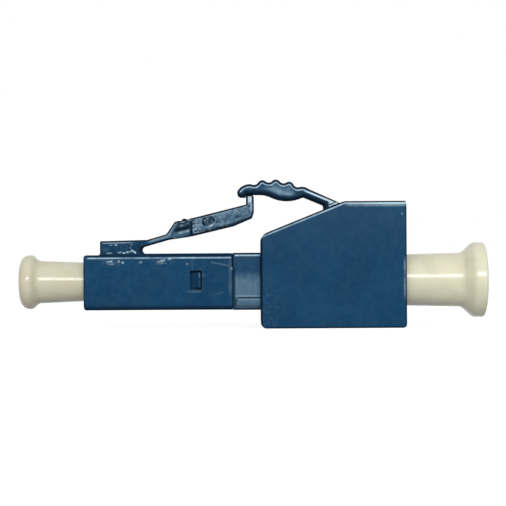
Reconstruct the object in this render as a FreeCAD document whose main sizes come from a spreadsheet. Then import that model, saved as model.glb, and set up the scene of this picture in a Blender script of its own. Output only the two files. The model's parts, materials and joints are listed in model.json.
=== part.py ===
import FreeCAD, Part
import math
import os
import re
import Sketcher

# Plug-in fibre attenuator with a 1.25 mm ferrule: a latched plug in front, a receptacle block behind.
# Millimetres. X runs along the light path, Z is up, the origin is on the axis at the plug's front face.

sizes = {
    # plug housing
    "plug_size": 4.52,            # square section of the plug
    "plug_length": 11.9,
    "plug_edge": 0.3,             # chamfer along the plug
    "lead_length": 1.24,          # lowered top in front of the latch root
    "lead_depth": 0.11,
    "nose_bore": 3.25,
    "nose_depth": 4.2,
    "shoulder": 0.8,              # wall that stops the ferrule collar
    "shoulder_hole": 2.0,
    "cavity_size": 3.5,           # square hollow behind the shoulder
    "window_start": 8.52,
    "window_length": 0.93,
    "window_height": 1.41,
    "window_lift": 0.13,          # windows and teeth above the axis
    # latch root and lever
    "latch_width": 2.2,
    "root_height": 1.02,          # root block above the plug, at its front
    "root_climb": 0.08,           # how much higher it is behind
    "root_round": 0.12,
    "latch_reach": 5.4,           # plug face to the latch's bending line
    "strip_drop": 0.13,           # bending line below the root's top
    "strip_thickness": 0.46,
    "strip_length": 1.3,
    "strip_angle": 16.0,
    "notch_rise": 0.24,           # depth of the round notch under the strip
    "notch_reach": 0.45,
    "notch_foot": 0.46,           # notch's foot in front of the bending line
    "ramp_run": 0.68,
    "ramp_rise": 1.0,
    "ramp_round": 0.28,
    "bar_angle": 13.25,
    "bar_height": 1.48,
    "bar_knee": 1.05,             # where the underside turns up, in front of the tab
    "heel_inset": 0.16,
    "heel_height": 1.2,
    "heel_rise": 0.5,
    "lug_width": 3.5,             # across both catch lugs
    "lug_back": 3.26,             # bending line to the catch faces
    "lug_slant": 0.3,             # lugs start behind the ramp
    "recess_depth": 0.18,
    "recess_height": 0.42,
    "recess_margin": 0.2,
    "recess_drop": 0.3,           # below the lug's top, at its catch face
    "tab_reach": 7.605,           # bending line to the end tab
    "tab_thickness": 0.635,
    "tab_height": 0.77,
    "tab_round": 0.22,
    "mark_diameter": 1.0,         # round moulding mark on the lever's side
    "mark_depth": 0.05,
    "mark_reach": 4.58,
    "mark_drop": 0.6,
    "hinge_gap": 0.03,            # between a lever's round end and its seat
    # receptacle block
    "joint_gap": 0.03,            # seam between plug and neck
    "neck_length": 2.21,
    "neck_size": 4.56,
    "neck_edge": 0.14,
    "pad_start": 0.25,            # raised pad low on the neck
    "pad_margin": 0.3,
    "pad_height": 0.68,
    "pad_rise": 0.08,
    "block_length": 11.6,
    "block_width": 6.2,
    "block_top": 6.33,
    "block_bottom": -3.75,
    "slope_start": 3.67,
    "slope_angle": 21.8,
    "slope_foot_round": 0.85,
    "slope_top_round": 0.9,
    "bottom_front_round": 0.5,
    "bottom_rear_round": 0.3,
    "block_edge": 0.2,
    "wall_lip": 0.4,              # lip that holds the sleeve holder
    "port_fit": 0.1,              # room round a plug in the receptacle
    "keyway_width": 3.7,
    "keyway_height": 1.44,
    "keyway_front": 0.7,
    "slot_width": 2.4,
    "slot_height": 2.95,
    "slot_depth": 5.5,
    "catch_wall": 0.78,
    "pocket_length": 2.5,
    # trigger
    "trigger_width": 3.4,
    "trigger_reach": 4.81,        # block front to the trigger's bending line
    "trigger_lift": 1.01,         # bending line above the slope
    "arm_angle": 22.8,
    "arm_thickness": 0.68,
    "arm_straight": 1.15,
    "foot_web": 0.34,             # from the bending line to the foot's upright face
    "foot_sink": 0.35,
    "belly_reach": 1.25,
    "belly_depth": 0.31,
    "throat_reach": 2.0,          # tab to the start of the belly
    "throat_drop": 0.2,
    "throat_rise": 0.05,
    "shelf_reach": 1.15,          # flat underside that rides on the tab
    "nose_gap": 0.06,
    "lip_gap": 0.1,
    "lip_drop": 0.21,
    "lip_length": 0.35,
    "nose_length": 0.6,
    "nose_height": 0.34,
    "nose_end_rise": 0.17,
    "nose_top_rise": 0.15,
    "grip_reach": 2.095,          # tab to the crown of the ridged back
    "grip_rise": 1.04,            # crown above the flat underside
    "grip_arch": 5.3,             # radius of the back
    "grip_turn": 3.5,             # middle ridge behind the crown, degrees
    "ridge_pitch": 1.14,
    "ridge_height": 0.12,
    "tail_rise": 0.07,
    # light path
    "ferrule_diameter": 1.249,
    "ferrule_tip": 1.9,           # in front of the plug's face
    "ferrule_chamfer": 0.16,
    "ferrule_room": 0.08,         # round the ferrule, where it only passes through
    "fibre_diameter": 0.125,
    "bond_gap": 0.004,
    "collar_flats": 2.6,
    "collar_length": 1.4,
    "collar_spigot": 1.75,
    "spigot_length": 1.3,
    "collar_gap": 0.02,
    "wire_diameter": 0.25,
    "spring_diameter": 2.6,
    "spring_turns": 5.0,
    "spring_gap": 0.02,
    "spring_fit": 0.07,
    "spring_room": 4.15,          # collar to the spring's seat
    "seat_wall": 0.4,
    "inner_fit": 0.05,
    "inner_lead": 0.82,           # inner body in front of the snap windows
    "tooth_sink": 0.14,           # tooth's crest below the plug's side
    "tooth_fit": 0.06,
    "spigot_size": 3.6,
    "spigot_depth": 1.16,
    "spigot_fit": 0.03,
    "sleeve_length": 6.8,
    "sleeve_wall": 0.2,
    "sleeve_fit": 0.012,
    "sleeve_slit": 0.28,
    "sleeve_room": 0.05,
    "holder_flange": 0.56,
    "holder_diameter": 2.9,
    "holder_fit": 0.04,
    "holder_lip": 0.45,
    # dust caps
    "cap_fit": 0.06,
    "cap_bore_fit": 0.03,
    "front_cap_room": 0.9,        # cap's end to the floor of the nose
    "front_tip_room": 1.06,       # ferrule's tip to the floor of the cap
    "front_cap_length": 5.28,     # outside the plug
    "front_stem_end": 3.46,
    "front_flange": 4.4,
    "front_flange_width": 1.0,
    "front_flange_round": 0.78,
    "front_flare": 0.47,
    "rear_cap_fit": 0.235,        # round stem to the flats of the square port
    "rear_bore_fit": 0.05,
    "rear_cap_room": 0.55,        # cap's end to the floor of the port
    "rear_tip_room": 1.72,        # holder's end to the floor of the cap
    "rear_cap_length": 6.51,       # outside the block
    "rear_stem_end": 4.36,
    "rear_flange": 6.05,
    "rear_flange_width": 0.97,
    "rear_flange_round": 0.22,
    "rear_flare": 0.9,
    "cap_tip_round": 0.2,
}

# Places worked out from the sizes above.
places = {
    "plug_half": "plug_size / 2",
    "root_front_top": "plug_half + root_height",
    "root_top": "root_front_top + root_climb",
    # latch: bending line, its round end and its seat
    "latch_x": "latch_reach",
    "latch_z": "root_top - strip_drop",
    "strip_half": "strip_thickness / 2",
    "latch_seat": "sqrt((strip_half + hinge_gap)^2 - strip_half^2)",
    "strip_top_x": "latch_x - strip_half * sin(strip_angle)",
    "strip_top_z": "latch_z + strip_half * cos(strip_angle)",
    "strip_low_x": "latch_x + strip_half * sin(strip_angle)",
    "strip_low_z": "latch_z - strip_half * cos(strip_angle)",
    "stub_x": "strip_top_x - (strip_top_z - root_top) / tan(strip_angle)",
    "strip_end_x": "strip_low_x + strip_length * cos(strip_angle)",
    "strip_end_z": "strip_low_z + strip_length * sin(strip_angle)",
    "ramp_foot_x": "strip_top_x + strip_length * cos(strip_angle)",
    "ramp_foot_z": "strip_top_z + strip_length * sin(strip_angle)",
    "ramp_top_x": "ramp_foot_x + ramp_run",
    "ramp_top_z": "ramp_foot_z + ramp_rise",
    "lug_x": "latch_x + lug_back",
    "lug_z": "ramp_top_z + (lug_x - ramp_top_x) * tan(bar_angle)",
    "lug_rise": "(lug_z - bar_height - strip_end_z) / (lug_x - strip_end_x)",
    "tab_x": "latch_x + tab_reach",
    "tab_back": "tab_x + tab_thickness",
    "bar_z": "ramp_top_z + (tab_x - ramp_top_x) * tan(bar_angle)",
    "tab_top": "bar_z + tab_height",
    "knee_x": "tab_x - bar_knee",
    "knee_z": "bar_z - bar_knee * tan(bar_angle) - bar_height",
    "heel_x": "tab_back - heel_inset",
    "heel_z": "bar_z + (heel_x - tab_x) * tan(bar_angle) - heel_height",
    "mark_x": "latch_x + mark_reach",
    "mark_z": "ramp_top_z + (mark_x - ramp_top_x) * tan(bar_angle) - mark_drop",
    # block
    "neck_x": "plug_length + joint_gap",
    "block_x": "neck_x + neck_length",
    "block_back": "block_x + block_length",
    "slope_end": "block_x + (block_top - slope_start) / tan(slope_angle)",
    "holder_x": "block_x + spigot_depth + spigot_fit",
    "holder_back": "holder_x + holder_flange",
    "port_x": "holder_back + wall_lip",
    "port_size": "plug_size + port_fit",
    "keyway_top": "plug_half + keyway_height",
    "slot_top": "plug_half + slot_height",
    # trigger: bending line, its round end and its seat
    "trigger_x": "block_x + trigger_reach",
    "trigger_z": "slope_start + trigger_reach * tan(slope_angle) + trigger_lift",
    "arm_half": "arm_thickness / 2",
    "trigger_seat": "sqrt((arm_half + hinge_gap)^2 - arm_half^2)",
    "arm_top_x": "trigger_x + arm_half * sin(arm_angle)",
    "arm_top_z": "trigger_z + arm_half * cos(arm_angle)",
    "arm_low_x": "trigger_x - arm_half * sin(arm_angle)",
    "arm_low_z": "trigger_z - arm_half * cos(arm_angle)",
    "web_x": "trigger_x + foot_web",
    "tail_run": "(arm_top_z - slope_start - (arm_top_x - block_x) * tan(slope_angle))"
                " / (tan(slope_angle) + tan(arm_angle))",
    "tail_x": "arm_top_x + tail_run",
    "tail_z": "arm_top_z - tail_run * tan(arm_angle)",
    "nose_z": "tab_top + nose_gap",
    "lip_x": "tab_x - lip_gap",
    "crown_x": "tab_x + grip_reach",
    "crown_z": "nose_z + grip_rise",
    "ridge_turn": "ridge_pitch / grip_arch * 90 / pi",
    # light path
    "ferrule_back": "port_x - ferrule_tip",
    "ferrule_way": "ferrule_diameter + 2 * ferrule_room",
    "collar_x": "nose_depth + shoulder + collar_gap",
    "collar_back": "collar_x + collar_length",
    "seat_x": "collar_back + spring_room",
    "sleeve_x": "seat_x + seat_wall + sleeve_room",
    "sleeve_bore": "ferrule_diameter + 2 * (sleeve_fit + sleeve_wall) + 2 * sleeve_room",
    "sleeve_back": "sleeve_x + sleeve_length",
    "holder_end": "sleeve_back + sleeve_room + holder_lip",
    "inner_x": "window_start - inner_lead",
    "inner_size": "cavity_size - 2 * inner_fit",
    "tooth_rise": "plug_half - inner_size / 2 - tooth_sink",
    "pad_bottom": "pad_margin - neck_size / 2",
    # dust caps
    "front_stem": "nose_bore - 2 * cap_fit",
    "front_cap_tip": "nose_depth - front_cap_room",
    "front_cap_floor": "-ferrule_tip - front_tip_room",
    "front_cap_bore": "ferrule_diameter + 2 * cap_bore_fit",
    "rear_stem": "port_size - 2 * rear_cap_fit",
    "rear_cap_tip": "port_x + rear_cap_room",
    "rear_cap_floor": "holder_end + rear_tip_room",
    "rear_cap_bore": "holder_diameter + 2 * rear_bore_fit",
    "rear_cap_end": "block_back + rear_cap_length",
    # longer than any cut right across the plug
    "right_across": "2 * plug_size",
}

doc = FreeCAD.newDocument("Attenuator")


def fill(name, rows):
    """A sheet with one named cell a row."""
    sheet = doc.addObject("Spreadsheet::Sheet", name)
    for number, (alias, content) in enumerate(rows.items(), 1):
        sheet.set(f"A{number}", alias)
        sheet.set(f"B{number}", content)
        sheet.setAlias(f"B{number}", alias)
    doc.recompute()
    return sheet


def formula(text):
    """The expression, with each name led back to its sheet."""
    def full(word):
        name = word.group()
        if name in sizes:
            return "Sizes." + name
        return "Places." + name if name in places else name
    return re.sub(r"[a-z]+(_[a-z]+)*", full, text)


fill("Sizes", {alias: str(number) for alias, number in sizes.items()})
place_sheet = fill("Places", {alias: "=" + formula(text) for alias, text in places.items()})


def value(text):
    """What an expression comes to now."""
    return float(place_sheet.evalExpression(formula(text)))


def near(one, other):
    return abs(one - other) < 1e-4


def bind(feature, **settings):
    for name, text in settings.items():
        feature.setExpression(name, formula(text))


def piece(label):
    body = doc.addObject("PartDesign::Body", label)
    body.Label = label
    return body


def sketch(body, name, plane, offset=None):
    """A sketch on one of the body's own planes, moved along its normal by offset."""
    flat = body.newObject("Sketcher::SketchObject", name)
    role = {origin.Role: origin for origin in body.Origin.OriginFeatures}[plane]
    flat.AttachmentSupport = [(role, "")]
    flat.MapMode = "FlatFace"
    if offset:
        flat.setExpression("AttachmentOffset.Base.z", formula(offset))
    return flat


def hold(flat, kind, edge, end, text):
    """Keep a point of an edge at a distance from the origin."""
    number = flat.addConstraint(Sketcher.Constraint(kind, -1, 1, edge, end, value(text)))
    name = f"{kind}_{edge}_{end}"
    flat.renameConstraint(number, name)
    flat.setExpression("Constraints." + name, formula(text))


def pin_down(flat, edge, end, across, up):
    """Keep a point of an edge at two expressions."""
    for kind, axis, text in (("DistanceX", -2, across), ("DistanceY", -1, up)):
        if text == "0":
            flat.addConstraint(Sketcher.Constraint("PointOnObject", edge, end, axis))
        else:
            hold(flat, kind, edge, end, text)


def bow(start, end, rise):
    """An arc that stands out from its chord by rise, to the left of travel if positive."""
    chord = end - start
    left = FreeCAD.Vector(-chord.y, chord.x, 0).normalize()
    radius = (chord.Length ** 2 / 4 + rise ** 2) / (2 * abs(rise))
    centre = (start + end) / 2 + left * (rise - math.copysign(radius, rise))
    first, last = (end, start) if rise > 0 else (start, end)
    angles = [math.atan2(spot.y - centre.y, spot.x - centre.x) for spot in (first, last)]
    circle = Part.Circle(centre, FreeCAD.Vector(0, 0, 1), radius)
    return Part.ArcOfCircle(circle, *angles)


def outline(flat, corners):
    """Closed outline. A corner is (across, up), or (across, up, rise) where an arc leaves it.

    A rise of half the chord is a half circle, held by its centre.
    """
    spots = [FreeCAD.Vector(value(corner[0]), value(corner[1]), 0) for corner in corners]
    ends = []
    for place, corner in enumerate(corners):
        after = (place + 1) % len(corners)
        start, end = spots[place], spots[after]
        if len(corner) == 2:
            edge = flat.addGeometry(Part.LineSegment(start, end))
            ends.append((edge, 1, 2))
            continue
        rise = value(corner[2])
        edge = flat.addGeometry(bow(start, end, rise))
        ends.append((edge, 2, 1) if rise > 0 else (edge, 1, 2))
    for place, corner in enumerate(corners):
        edge, first, last = ends[place]
        before = ends[place - 1]
        flat.addConstraint(Sketcher.Constraint("Coincident", before[0], before[2], edge, first))
        pin_down(flat, edge, first, corner[0], corner[1])
    for place, corner in enumerate(corners):
        if len(corner) == 2:
            continue
        across, up, rise = corner
        next_across, next_up = corners[(place + 1) % len(corners)][:2]
        edge = ends[place][0]
        if near(value(rise), (spots[(place + 1) % len(corners)] - spots[place]).Length / 2):
            hold(flat, "DistanceX", edge, 3, f"(({across}) + ({next_across})) / 2")
            continue
        chord = f"((({next_across}) - ({across}))^2 + (({next_up}) - ({up}))^2)"
        radius = f"({chord} / 4 + ({rise})^2) / (2 * abs({rise}))"
        number = flat.addConstraint(Sketcher.Constraint("Radius", edge, value(radius)))
        flat.renameConstraint(number, f"Radius_{edge}")
        flat.setExpression(f"Constraints.Radius_{edge}", formula(radius))


def box_outline(flat, left, right, low, high):
    outline(flat, [(left, low), (right, low), (right, high), (left, high)])


def square(flat, side):
    half = f"({side}) / 2"
    box_outline(flat, "-" + half, half, "-" + half, half)


def circle(flat, diameter, across="0", up="0"):
    centre = FreeCAD.Vector(value(across), value(up), 0)
    edge = flat.addGeometry(Part.Circle(centre, FreeCAD.Vector(0, 0, 1), value(diameter) / 2))
    pin_down(flat, edge, 3, across, up)
    number = flat.addConstraint(Sketcher.Constraint("Diameter", edge, value(diameter)))
    flat.renameConstraint(number, "Diameter")
    flat.setExpression("Constraints.Diameter", formula(diameter))


def raise_from(body, flat, name, length, both_ways=False):
    pad = body.newObject("PartDesign::Pad", name)
    pad.Profile = flat
    bind(pad, Length=length)
    if both_ways:
        pad.SideType = "Symmetric"
    return pad


def cut_into(body, flat, name, length, forward=False, both_ways=False):
    """A pocket against the sketch's normal, or along it where forward."""
    pocket = body.newObject("PartDesign::Pocket", name)
    pocket.Profile = flat
    bind(pocket, Length=length)
    pocket.Reversed = forward
    if both_ways:
        pocket.SideType = "Symmetric"
    return pocket


def spin(body, flat, name):
    turned = body.newObject("PartDesign::Revolution", name)
    turned.Profile = flat
    turned.ReferenceAxis = (flat, ["H_Axis"])
    turned.Angle = 360
    return turned


def dress(body, kind, name, size, test):
    """A fillet or chamfer on the edges of the body so far that pass the test."""
    doc.recompute()
    base = body.Tip
    chosen = [f"Edge{number}" for number, edge in enumerate(base.Shape.Edges, 1) if test(edge)]
    feature = body.newObject("PartDesign::" + kind, name)
    feature.Base = (base, chosen)
    bind(feature, **{"Radius" if kind == "Fillet" else "Size": size})
    return feature


def crosswise_at(*spots):
    """Edges along Y whose X and Z are one of the spots."""
    numbers = [(value(across), value(up)) for across, up in spots]

    def test(edge):
        first, last = edge.Vertexes[0].Point, edge.Vertexes[-1].Point
        if not (near(first.x, last.x) and near(first.z, last.z)) or near(first.y, last.y):
            return False
        return any(near(first.x, across) and near(first.z, up) for across, up in numbers)
    return test


def lengthwise_at(half):
    """The four long edges of a square bar along X."""
    number = value(half)

    def test(edge):
        first, last = edge.Vertexes[0].Point, edge.Vertexes[-1].Point
        level = near(first.y, last.y) and near(first.z, last.z)
        return level and near(abs(first.y), number) and near(abs(first.z), number)
    return test


def on_sides(half):
    """All edges that lie in one of the two side faces."""
    number = value(half)

    def test(edge):
        return all(near(abs(spot.Point.y), number) for spot in edge.Vertexes)
    return test


# Plug housing

front = piece("front_housing")
flat = sketch(front, "plug_section", "YZ_Plane")
square(flat, "plug_size")
raise_from(front, flat, "plug", "plug_length")
dress(front, "Chamfer", "plug_edges", "plug_edge", lengthwise_at("plug_half"))

flat = sketch(front, "lead_side", "XZ_Plane")
box_outline(flat, "0", "lead_length", "plug_half - lead_depth", "plug_half + lead_depth")
cut_into(front, flat, "lead", "right_across", both_ways=True)

# The root rises from the plug and ends in a round seat on the bending line.
flat = sketch(front, "root_side", "XZ_Plane")
outline(flat, [
    ("lead_length", "plug_half - plug_edge"),
    ("lead_length", "root_front_top"),
    ("stub_x", "root_top"),
    ("strip_top_x - latch_seat * cos(strip_angle)", "strip_top_z - latch_seat * sin(strip_angle)",
     "latch_seat - strip_half - hinge_gap"),
    ("strip_low_x - latch_seat * cos(strip_angle)", "strip_low_z - latch_seat * sin(strip_angle)"),
    ("strip_low_x - notch_reach * cos(strip_angle)", "strip_low_z - notch_reach * sin(strip_angle)",
     "-notch_rise"),
    ("latch_x - notch_foot", "plug_half"),
    ("latch_x - notch_foot", "plug_half - plug_edge"),
])
raise_from(front, flat, "latch_root", "latch_width", both_ways=True)
dress(front, "Fillet", "root_corner", "root_round", crosswise_at(("lead_length", "root_front_top")))

flat = sketch(front, "nose_circle", "YZ_Plane")
circle(flat, "nose_bore")
cut_into(front, flat, "nose", "nose_depth", forward=True)
flat = sketch(front, "shoulder_circle", "YZ_Plane")
circle(flat, "shoulder_hole")
cut_into(front, flat, "shoulder_way", "nose_depth + shoulder", forward=True)
flat = sketch(front, "cavity_section", "YZ_Plane", "plug_length")
square(flat, "cavity_size")
cut_into(front, flat, "cavity", "plug_length - nose_depth - shoulder")
flat = sketch(front, "window_side", "XZ_Plane")
box_outline(flat, "window_start", "window_start + window_length",
            "window_lift - window_height / 2", "window_lift + window_height / 2")
cut_into(front, flat, "windows", "right_across", both_ways=True)

# Latch lever: springy strip, ramp, barbed bar and end tab

latch = piece("latch_lever")
flat = sketch(latch, "lever_side", "XZ_Plane")
outline(flat, [
    ("strip_low_x", "strip_low_z", "strip_half"),
    ("strip_top_x", "strip_top_z"),
    ("ramp_foot_x", "ramp_foot_z"),
    ("ramp_top_x", "ramp_top_z"),
    ("tab_x", "bar_z"),
    ("tab_x", "tab_top"),
    ("tab_back", "tab_top"),
    ("tab_back", "heel_z + heel_rise"),
    ("heel_x", "heel_z"),
    ("knee_x", "knee_z"),
    ("lug_x", "lug_z - bar_height"),
    ("strip_end_x", "strip_end_z"),
])
raise_from(latch, flat, "lever", "latch_width", both_ways=True)
dress(latch, "Fillet", "ramp_rounds", "ramp_round",
      crosswise_at(("ramp_foot_x", "ramp_foot_z"), ("ramp_top_x", "ramp_top_z")))
dress(latch, "Fillet", "tab_corner", "tab_round", crosswise_at(("tab_back", "tab_top")))

flat = sketch(latch, "lug_side", "XZ_Plane")
outline(flat, [
    ("strip_end_x + lug_slant", "strip_end_z + lug_slant * lug_rise"),
    ("ramp_top_x + lug_slant", "ramp_top_z + lug_slant * tan(bar_angle)"),
    ("lug_x", "lug_z"),
    ("lug_x", "lug_z - bar_height"),
])
raise_from(latch, flat, "lugs", "lug_width", both_ways=True)
for side, turn in (("near", ""), ("far", "-")):
    flat = sketch(latch, f"{side}_recess_side", "XZ_Plane", f"{turn}lug_width / 2")
    outline(flat, [
        ("ramp_top_x + recess_margin", "ramp_top_z - recess_margin - recess_height"),
        ("ramp_top_x + recess_margin", "ramp_top_z - recess_margin"),
        ("lug_x - recess_margin", "lug_z - recess_drop"),
        ("lug_x - recess_margin", "lug_z - recess_drop - recess_height"),
    ])
    cut_into(latch, flat, f"{side}_recess", "recess_depth", forward=side == "far")
flat = sketch(latch, "mark_circle", "XZ_Plane", "latch_width / 2")
circle(flat, "mark_diameter", "mark_x", "mark_z")
cut_into(latch, flat, "moulding_mark", "mark_depth")

# Receptacle block with the trigger's foot

rear = piece("rear_housing")
flat = sketch(rear, "block_side", "XZ_Plane")
outline(flat, [
    ("block_x", "block_bottom"),
    ("block_x", "slope_start"),
    ("slope_end", "block_top"),
    ("block_back", "block_top"),
    ("block_back", "block_bottom"),
])
raise_from(rear, flat, "block", "block_width", both_ways=True)
for name, across, up in (
    ("bottom_front_round", "block_x", "block_bottom"),
    ("slope_foot_round", "block_x", "slope_start"),
    ("slope_top_round", "slope_end", "block_top"),
    ("bottom_rear_round", "block_back", "block_bottom"),
):
    dress(rear, "Fillet", name.replace("round", "corner"), name, crosswise_at((across, up)))
dress(rear, "Fillet", "side_edges", "block_edge", on_sides("block_width / 2"))

flat = sketch(rear, "port_section", "YZ_Plane", "block_back")
square(flat, "port_size")
cut_into(rear, flat, "port", "block_back - port_x")
flat = sketch(rear, "keyway_section", "YZ_Plane", "block_back")
box_outline(flat, "-keyway_width / 2", "keyway_width / 2", "0", "keyway_top")
cut_into(rear, flat, "keyway", "block_back - port_x - keyway_front")
flat = sketch(rear, "slot_section", "YZ_Plane", "block_back")
box_outline(flat, "-slot_width / 2", "slot_width / 2", "0", "slot_top")
cut_into(rear, flat, "latch_slot", "slot_depth")
flat = sketch(rear, "pocket_section", "YZ_Plane", "block_back - catch_wall")
box_outline(flat, "-keyway_width / 2", "keyway_width / 2", "0", "slot_top")
cut_into(rear, flat, "lug_pocket", "pocket_length")
flat = sketch(rear, "spigot_section", "YZ_Plane", "block_x")
square(flat, "spigot_size + 2 * spigot_fit")
cut_into(rear, flat, "spigot_hole", "holder_back - block_x", forward=True)
flat = sketch(rear, "lip_circle", "YZ_Plane", "block_x")
circle(flat, "holder_diameter + 2 * holder_fit")
cut_into(rear, flat, "lip_hole", "port_x - block_x", forward=True)

flat = sketch(rear, "foot_side", "XZ_Plane")
outline(flat, [
    ("arm_top_x + trigger_seat * cos(arm_angle)", "arm_top_z - trigger_seat * sin(arm_angle)"),
    ("tail_x", "tail_z"),
    ("tail_x", "tail_z - foot_sink"),
    ("web_x", "slope_start + (web_x - block_x) * tan(slope_angle) - foot_sink"),
    ("web_x", "arm_low_z - (web_x - arm_low_x) * tan(arm_angle)"),
    ("arm_low_x + trigger_seat * cos(arm_angle)", "arm_low_z - trigger_seat * sin(arm_angle)",
     "trigger_seat - arm_half - hinge_gap"),
])
raise_from(rear, flat, "trigger_foot", "trigger_width", both_ways=True)

# Trigger lever: straight arm, ridged back and a nose that lies on the latch's tab

trigger = piece("trigger_lever")
flat = sketch(trigger, "trigger_side", "XZ_Plane")
ridges = 3
waves = 2 * ridges + 1
ridge_bounds = [f"(grip_turn + {step - waves / 2} * ridge_turn)" for step in range(waves + 1)]
ridged_back = []
for step, bound in enumerate(ridge_bounds[:-1]):
    sign = "-" if step % 2 == 0 else ""
    ridged_back.append((f"crown_x + grip_arch * sin({bound})",
                        f"crown_z - grip_arch * (1 - cos({bound}))", f"{sign}ridge_height"))
outline(flat, [
    ("arm_top_x", "arm_top_z", "arm_half"),
    ("arm_low_x", "arm_low_z"),
    ("arm_low_x - belly_reach * cos(arm_angle)", "arm_low_z + belly_reach * sin(arm_angle)", "belly_depth"),
    ("tab_x + throat_reach", "nose_z - throat_drop", "-throat_rise"),
    ("tab_x + shelf_reach", "nose_z"),
    ("lip_x", "nose_z"),
    ("lip_x", "nose_z - lip_drop"),
    ("lip_x - lip_length", "nose_z - lip_drop", "nose_end_rise"),
    ("tab_x - nose_length", "nose_z + nose_height", "nose_top_rise"),
    *ridged_back,
    (f"crown_x + grip_arch * sin({ridge_bounds[-1]})",
     f"crown_z - grip_arch * (1 - cos({ridge_bounds[-1]}))", "tail_rise"),
    ("arm_top_x - arm_straight * cos(arm_angle)", "arm_top_z + arm_straight * sin(arm_angle)"),
])
raise_from(trigger, flat, "arm", "trigger_width", both_ways=True)

# Inner body: snap teeth, neck and the spring's seat

inner = piece("inner_body")
flat = sketch(inner, "inner_section", "YZ_Plane", "inner_x")
square(flat, "inner_size")
raise_from(inner, flat, "inner_tube", "neck_x - inner_x")
flat = sketch(inner, "neck_section", "YZ_Plane", "neck_x")
square(flat, "neck_size")
raise_from(inner, flat, "neck", "neck_length")
dress(inner, "Chamfer", "neck_edges", "neck_edge", lengthwise_at("neck_size / 2"))
flat = sketch(inner, "pad_side", "XZ_Plane")
box_outline(flat, "neck_x + pad_start", "block_x", "pad_bottom", "pad_bottom + pad_height")
raise_from(inner, flat, "neck_pads", "neck_size + 2 * pad_rise", both_ways=True)
flat = sketch(inner, "spigot_section", "YZ_Plane", "block_x")
square(flat, "spigot_size")
raise_from(inner, flat, "spigot", "spigot_depth")
for side, turn in (("near", "-"), ("far", "")):
    flat = sketch(inner, f"{side}_tooth_plan", "XY_Plane", "window_lift")
    outline(flat, [
        ("window_start + tooth_fit", f"{turn}(inner_size / 2 - inner_fit)"),
        ("window_start + tooth_fit", f"{turn}(inner_size / 2)"),
        ("window_start + window_length - tooth_fit", f"{turn}(inner_size / 2 + tooth_rise)"),
        ("window_start + window_length - tooth_fit", f"{turn}(inner_size / 2 - inner_fit)"),
    ])
    raise_from(inner, flat, f"{side}_tooth", "window_height - 2 * tooth_fit", both_ways=True)
flat = sketch(inner, "spring_circle", "YZ_Plane", "inner_x")
circle(flat, "spring_diameter + 2 * spring_fit")
cut_into(inner, flat, "spring_hole", "seat_x - inner_x", forward=True)
flat = sketch(inner, "seat_circle", "YZ_Plane", "inner_x")
circle(flat, "ferrule_way")
cut_into(inner, flat, "seat_way", "seat_x + seat_wall - inner_x", forward=True)
flat = sketch(inner, "sleeve_circle", "YZ_Plane", "block_x + spigot_depth")
circle(flat, "sleeve_bore")
cut_into(inner, flat, "sleeve_hole", "block_x + spigot_depth - seat_x - seat_wall")

# Sleeve holder and split sleeve

holder = piece("sleeve_holder")
flat = sketch(holder, "flange_section", "YZ_Plane", "holder_x")
square(flat, "spigot_size")
raise_from(holder, flat, "flange", "holder_flange")
flat = sketch(holder, "tube_circle", "YZ_Plane", "holder_x")
circle(flat, "holder_diameter")
raise_from(holder, flat, "tube", "holder_end - holder_x")
flat = sketch(holder, "sleeve_circle", "YZ_Plane", "holder_x")
circle(flat, "sleeve_bore")
cut_into(holder, flat, "sleeve_hole", "holder_end - holder_lip - holder_x", forward=True)
flat = sketch(holder, "mouth_circle", "YZ_Plane", "holder_x")
circle(flat, "ferrule_way")
cut_into(holder, flat, "mouth", "holder_end - holder_x", forward=True)

sleeve = piece("split_sleeve")
flat = sketch(sleeve, "sleeve_half", "XZ_Plane")
box_outline(flat, "sleeve_x", "sleeve_back", "ferrule_diameter / 2 + sleeve_fit",
            "ferrule_diameter / 2 + sleeve_fit + sleeve_wall")
spin(sleeve, flat, "sleeve")
flat = sketch(sleeve, "slit_section", "YZ_Plane", "sleeve_x")
box_outline(flat, "-sleeve_slit / 2", "sleeve_slit / 2", "0", "ferrule_diameter")
cut_into(sleeve, flat, "slit", "sleeve_length", forward=True)

# Ferrule, fibre, collar and spring

ferrule = piece("ferrule")
flat = sketch(ferrule, "ferrule_half", "XZ_Plane")
outline(flat, [
    ("-ferrule_tip", "fibre_diameter / 2 + bond_gap"),
    ("-ferrule_tip", "ferrule_diameter / 2 - ferrule_chamfer"),
    ("ferrule_chamfer - ferrule_tip", "ferrule_diameter / 2"),
    ("ferrule_back - ferrule_chamfer", "ferrule_diameter / 2"),
    ("ferrule_back", "ferrule_diameter / 2 - ferrule_chamfer"),
    ("ferrule_back", "fibre_diameter / 2 + bond_gap"),
])
spin(ferrule, flat, "ceramic")

fibre = doc.addObject("Part::Cylinder", "doped_fibre")
fibre.Label = "doped_fibre"
fibre.Placement.Rotation = FreeCAD.Rotation(FreeCAD.Vector(0, 1, 0), 90)
bind(fibre, Radius="fibre_diameter / 2", Height="ferrule_back + ferrule_tip")
fibre.setExpression("Placement.Base.x", formula("-ferrule_tip"))

collar = piece("ferrule_flange")
flat = sketch(collar, "hexagon", "YZ_Plane", "collar_x")
outline(flat, [(f"collar_flats / sqrt(3) * cos({60 * corner + 30})",
                f"collar_flats / sqrt(3) * sin({60 * corner + 30})") for corner in range(6)])
raise_from(collar, flat, "hex_collar", "collar_length")
flat = sketch(collar, "spigot_circle", "YZ_Plane", "collar_x")
circle(flat, "collar_spigot")
raise_from(collar, flat, "collar_tail", "collar_length + spigot_length")
flat = sketch(collar, "bore_circle", "YZ_Plane", "collar_x")
circle(flat, "ferrule_diameter + 2 * bond_gap")
cut_into(collar, flat, "ferrule_bore", "collar_length + spigot_length", forward=True)

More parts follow.
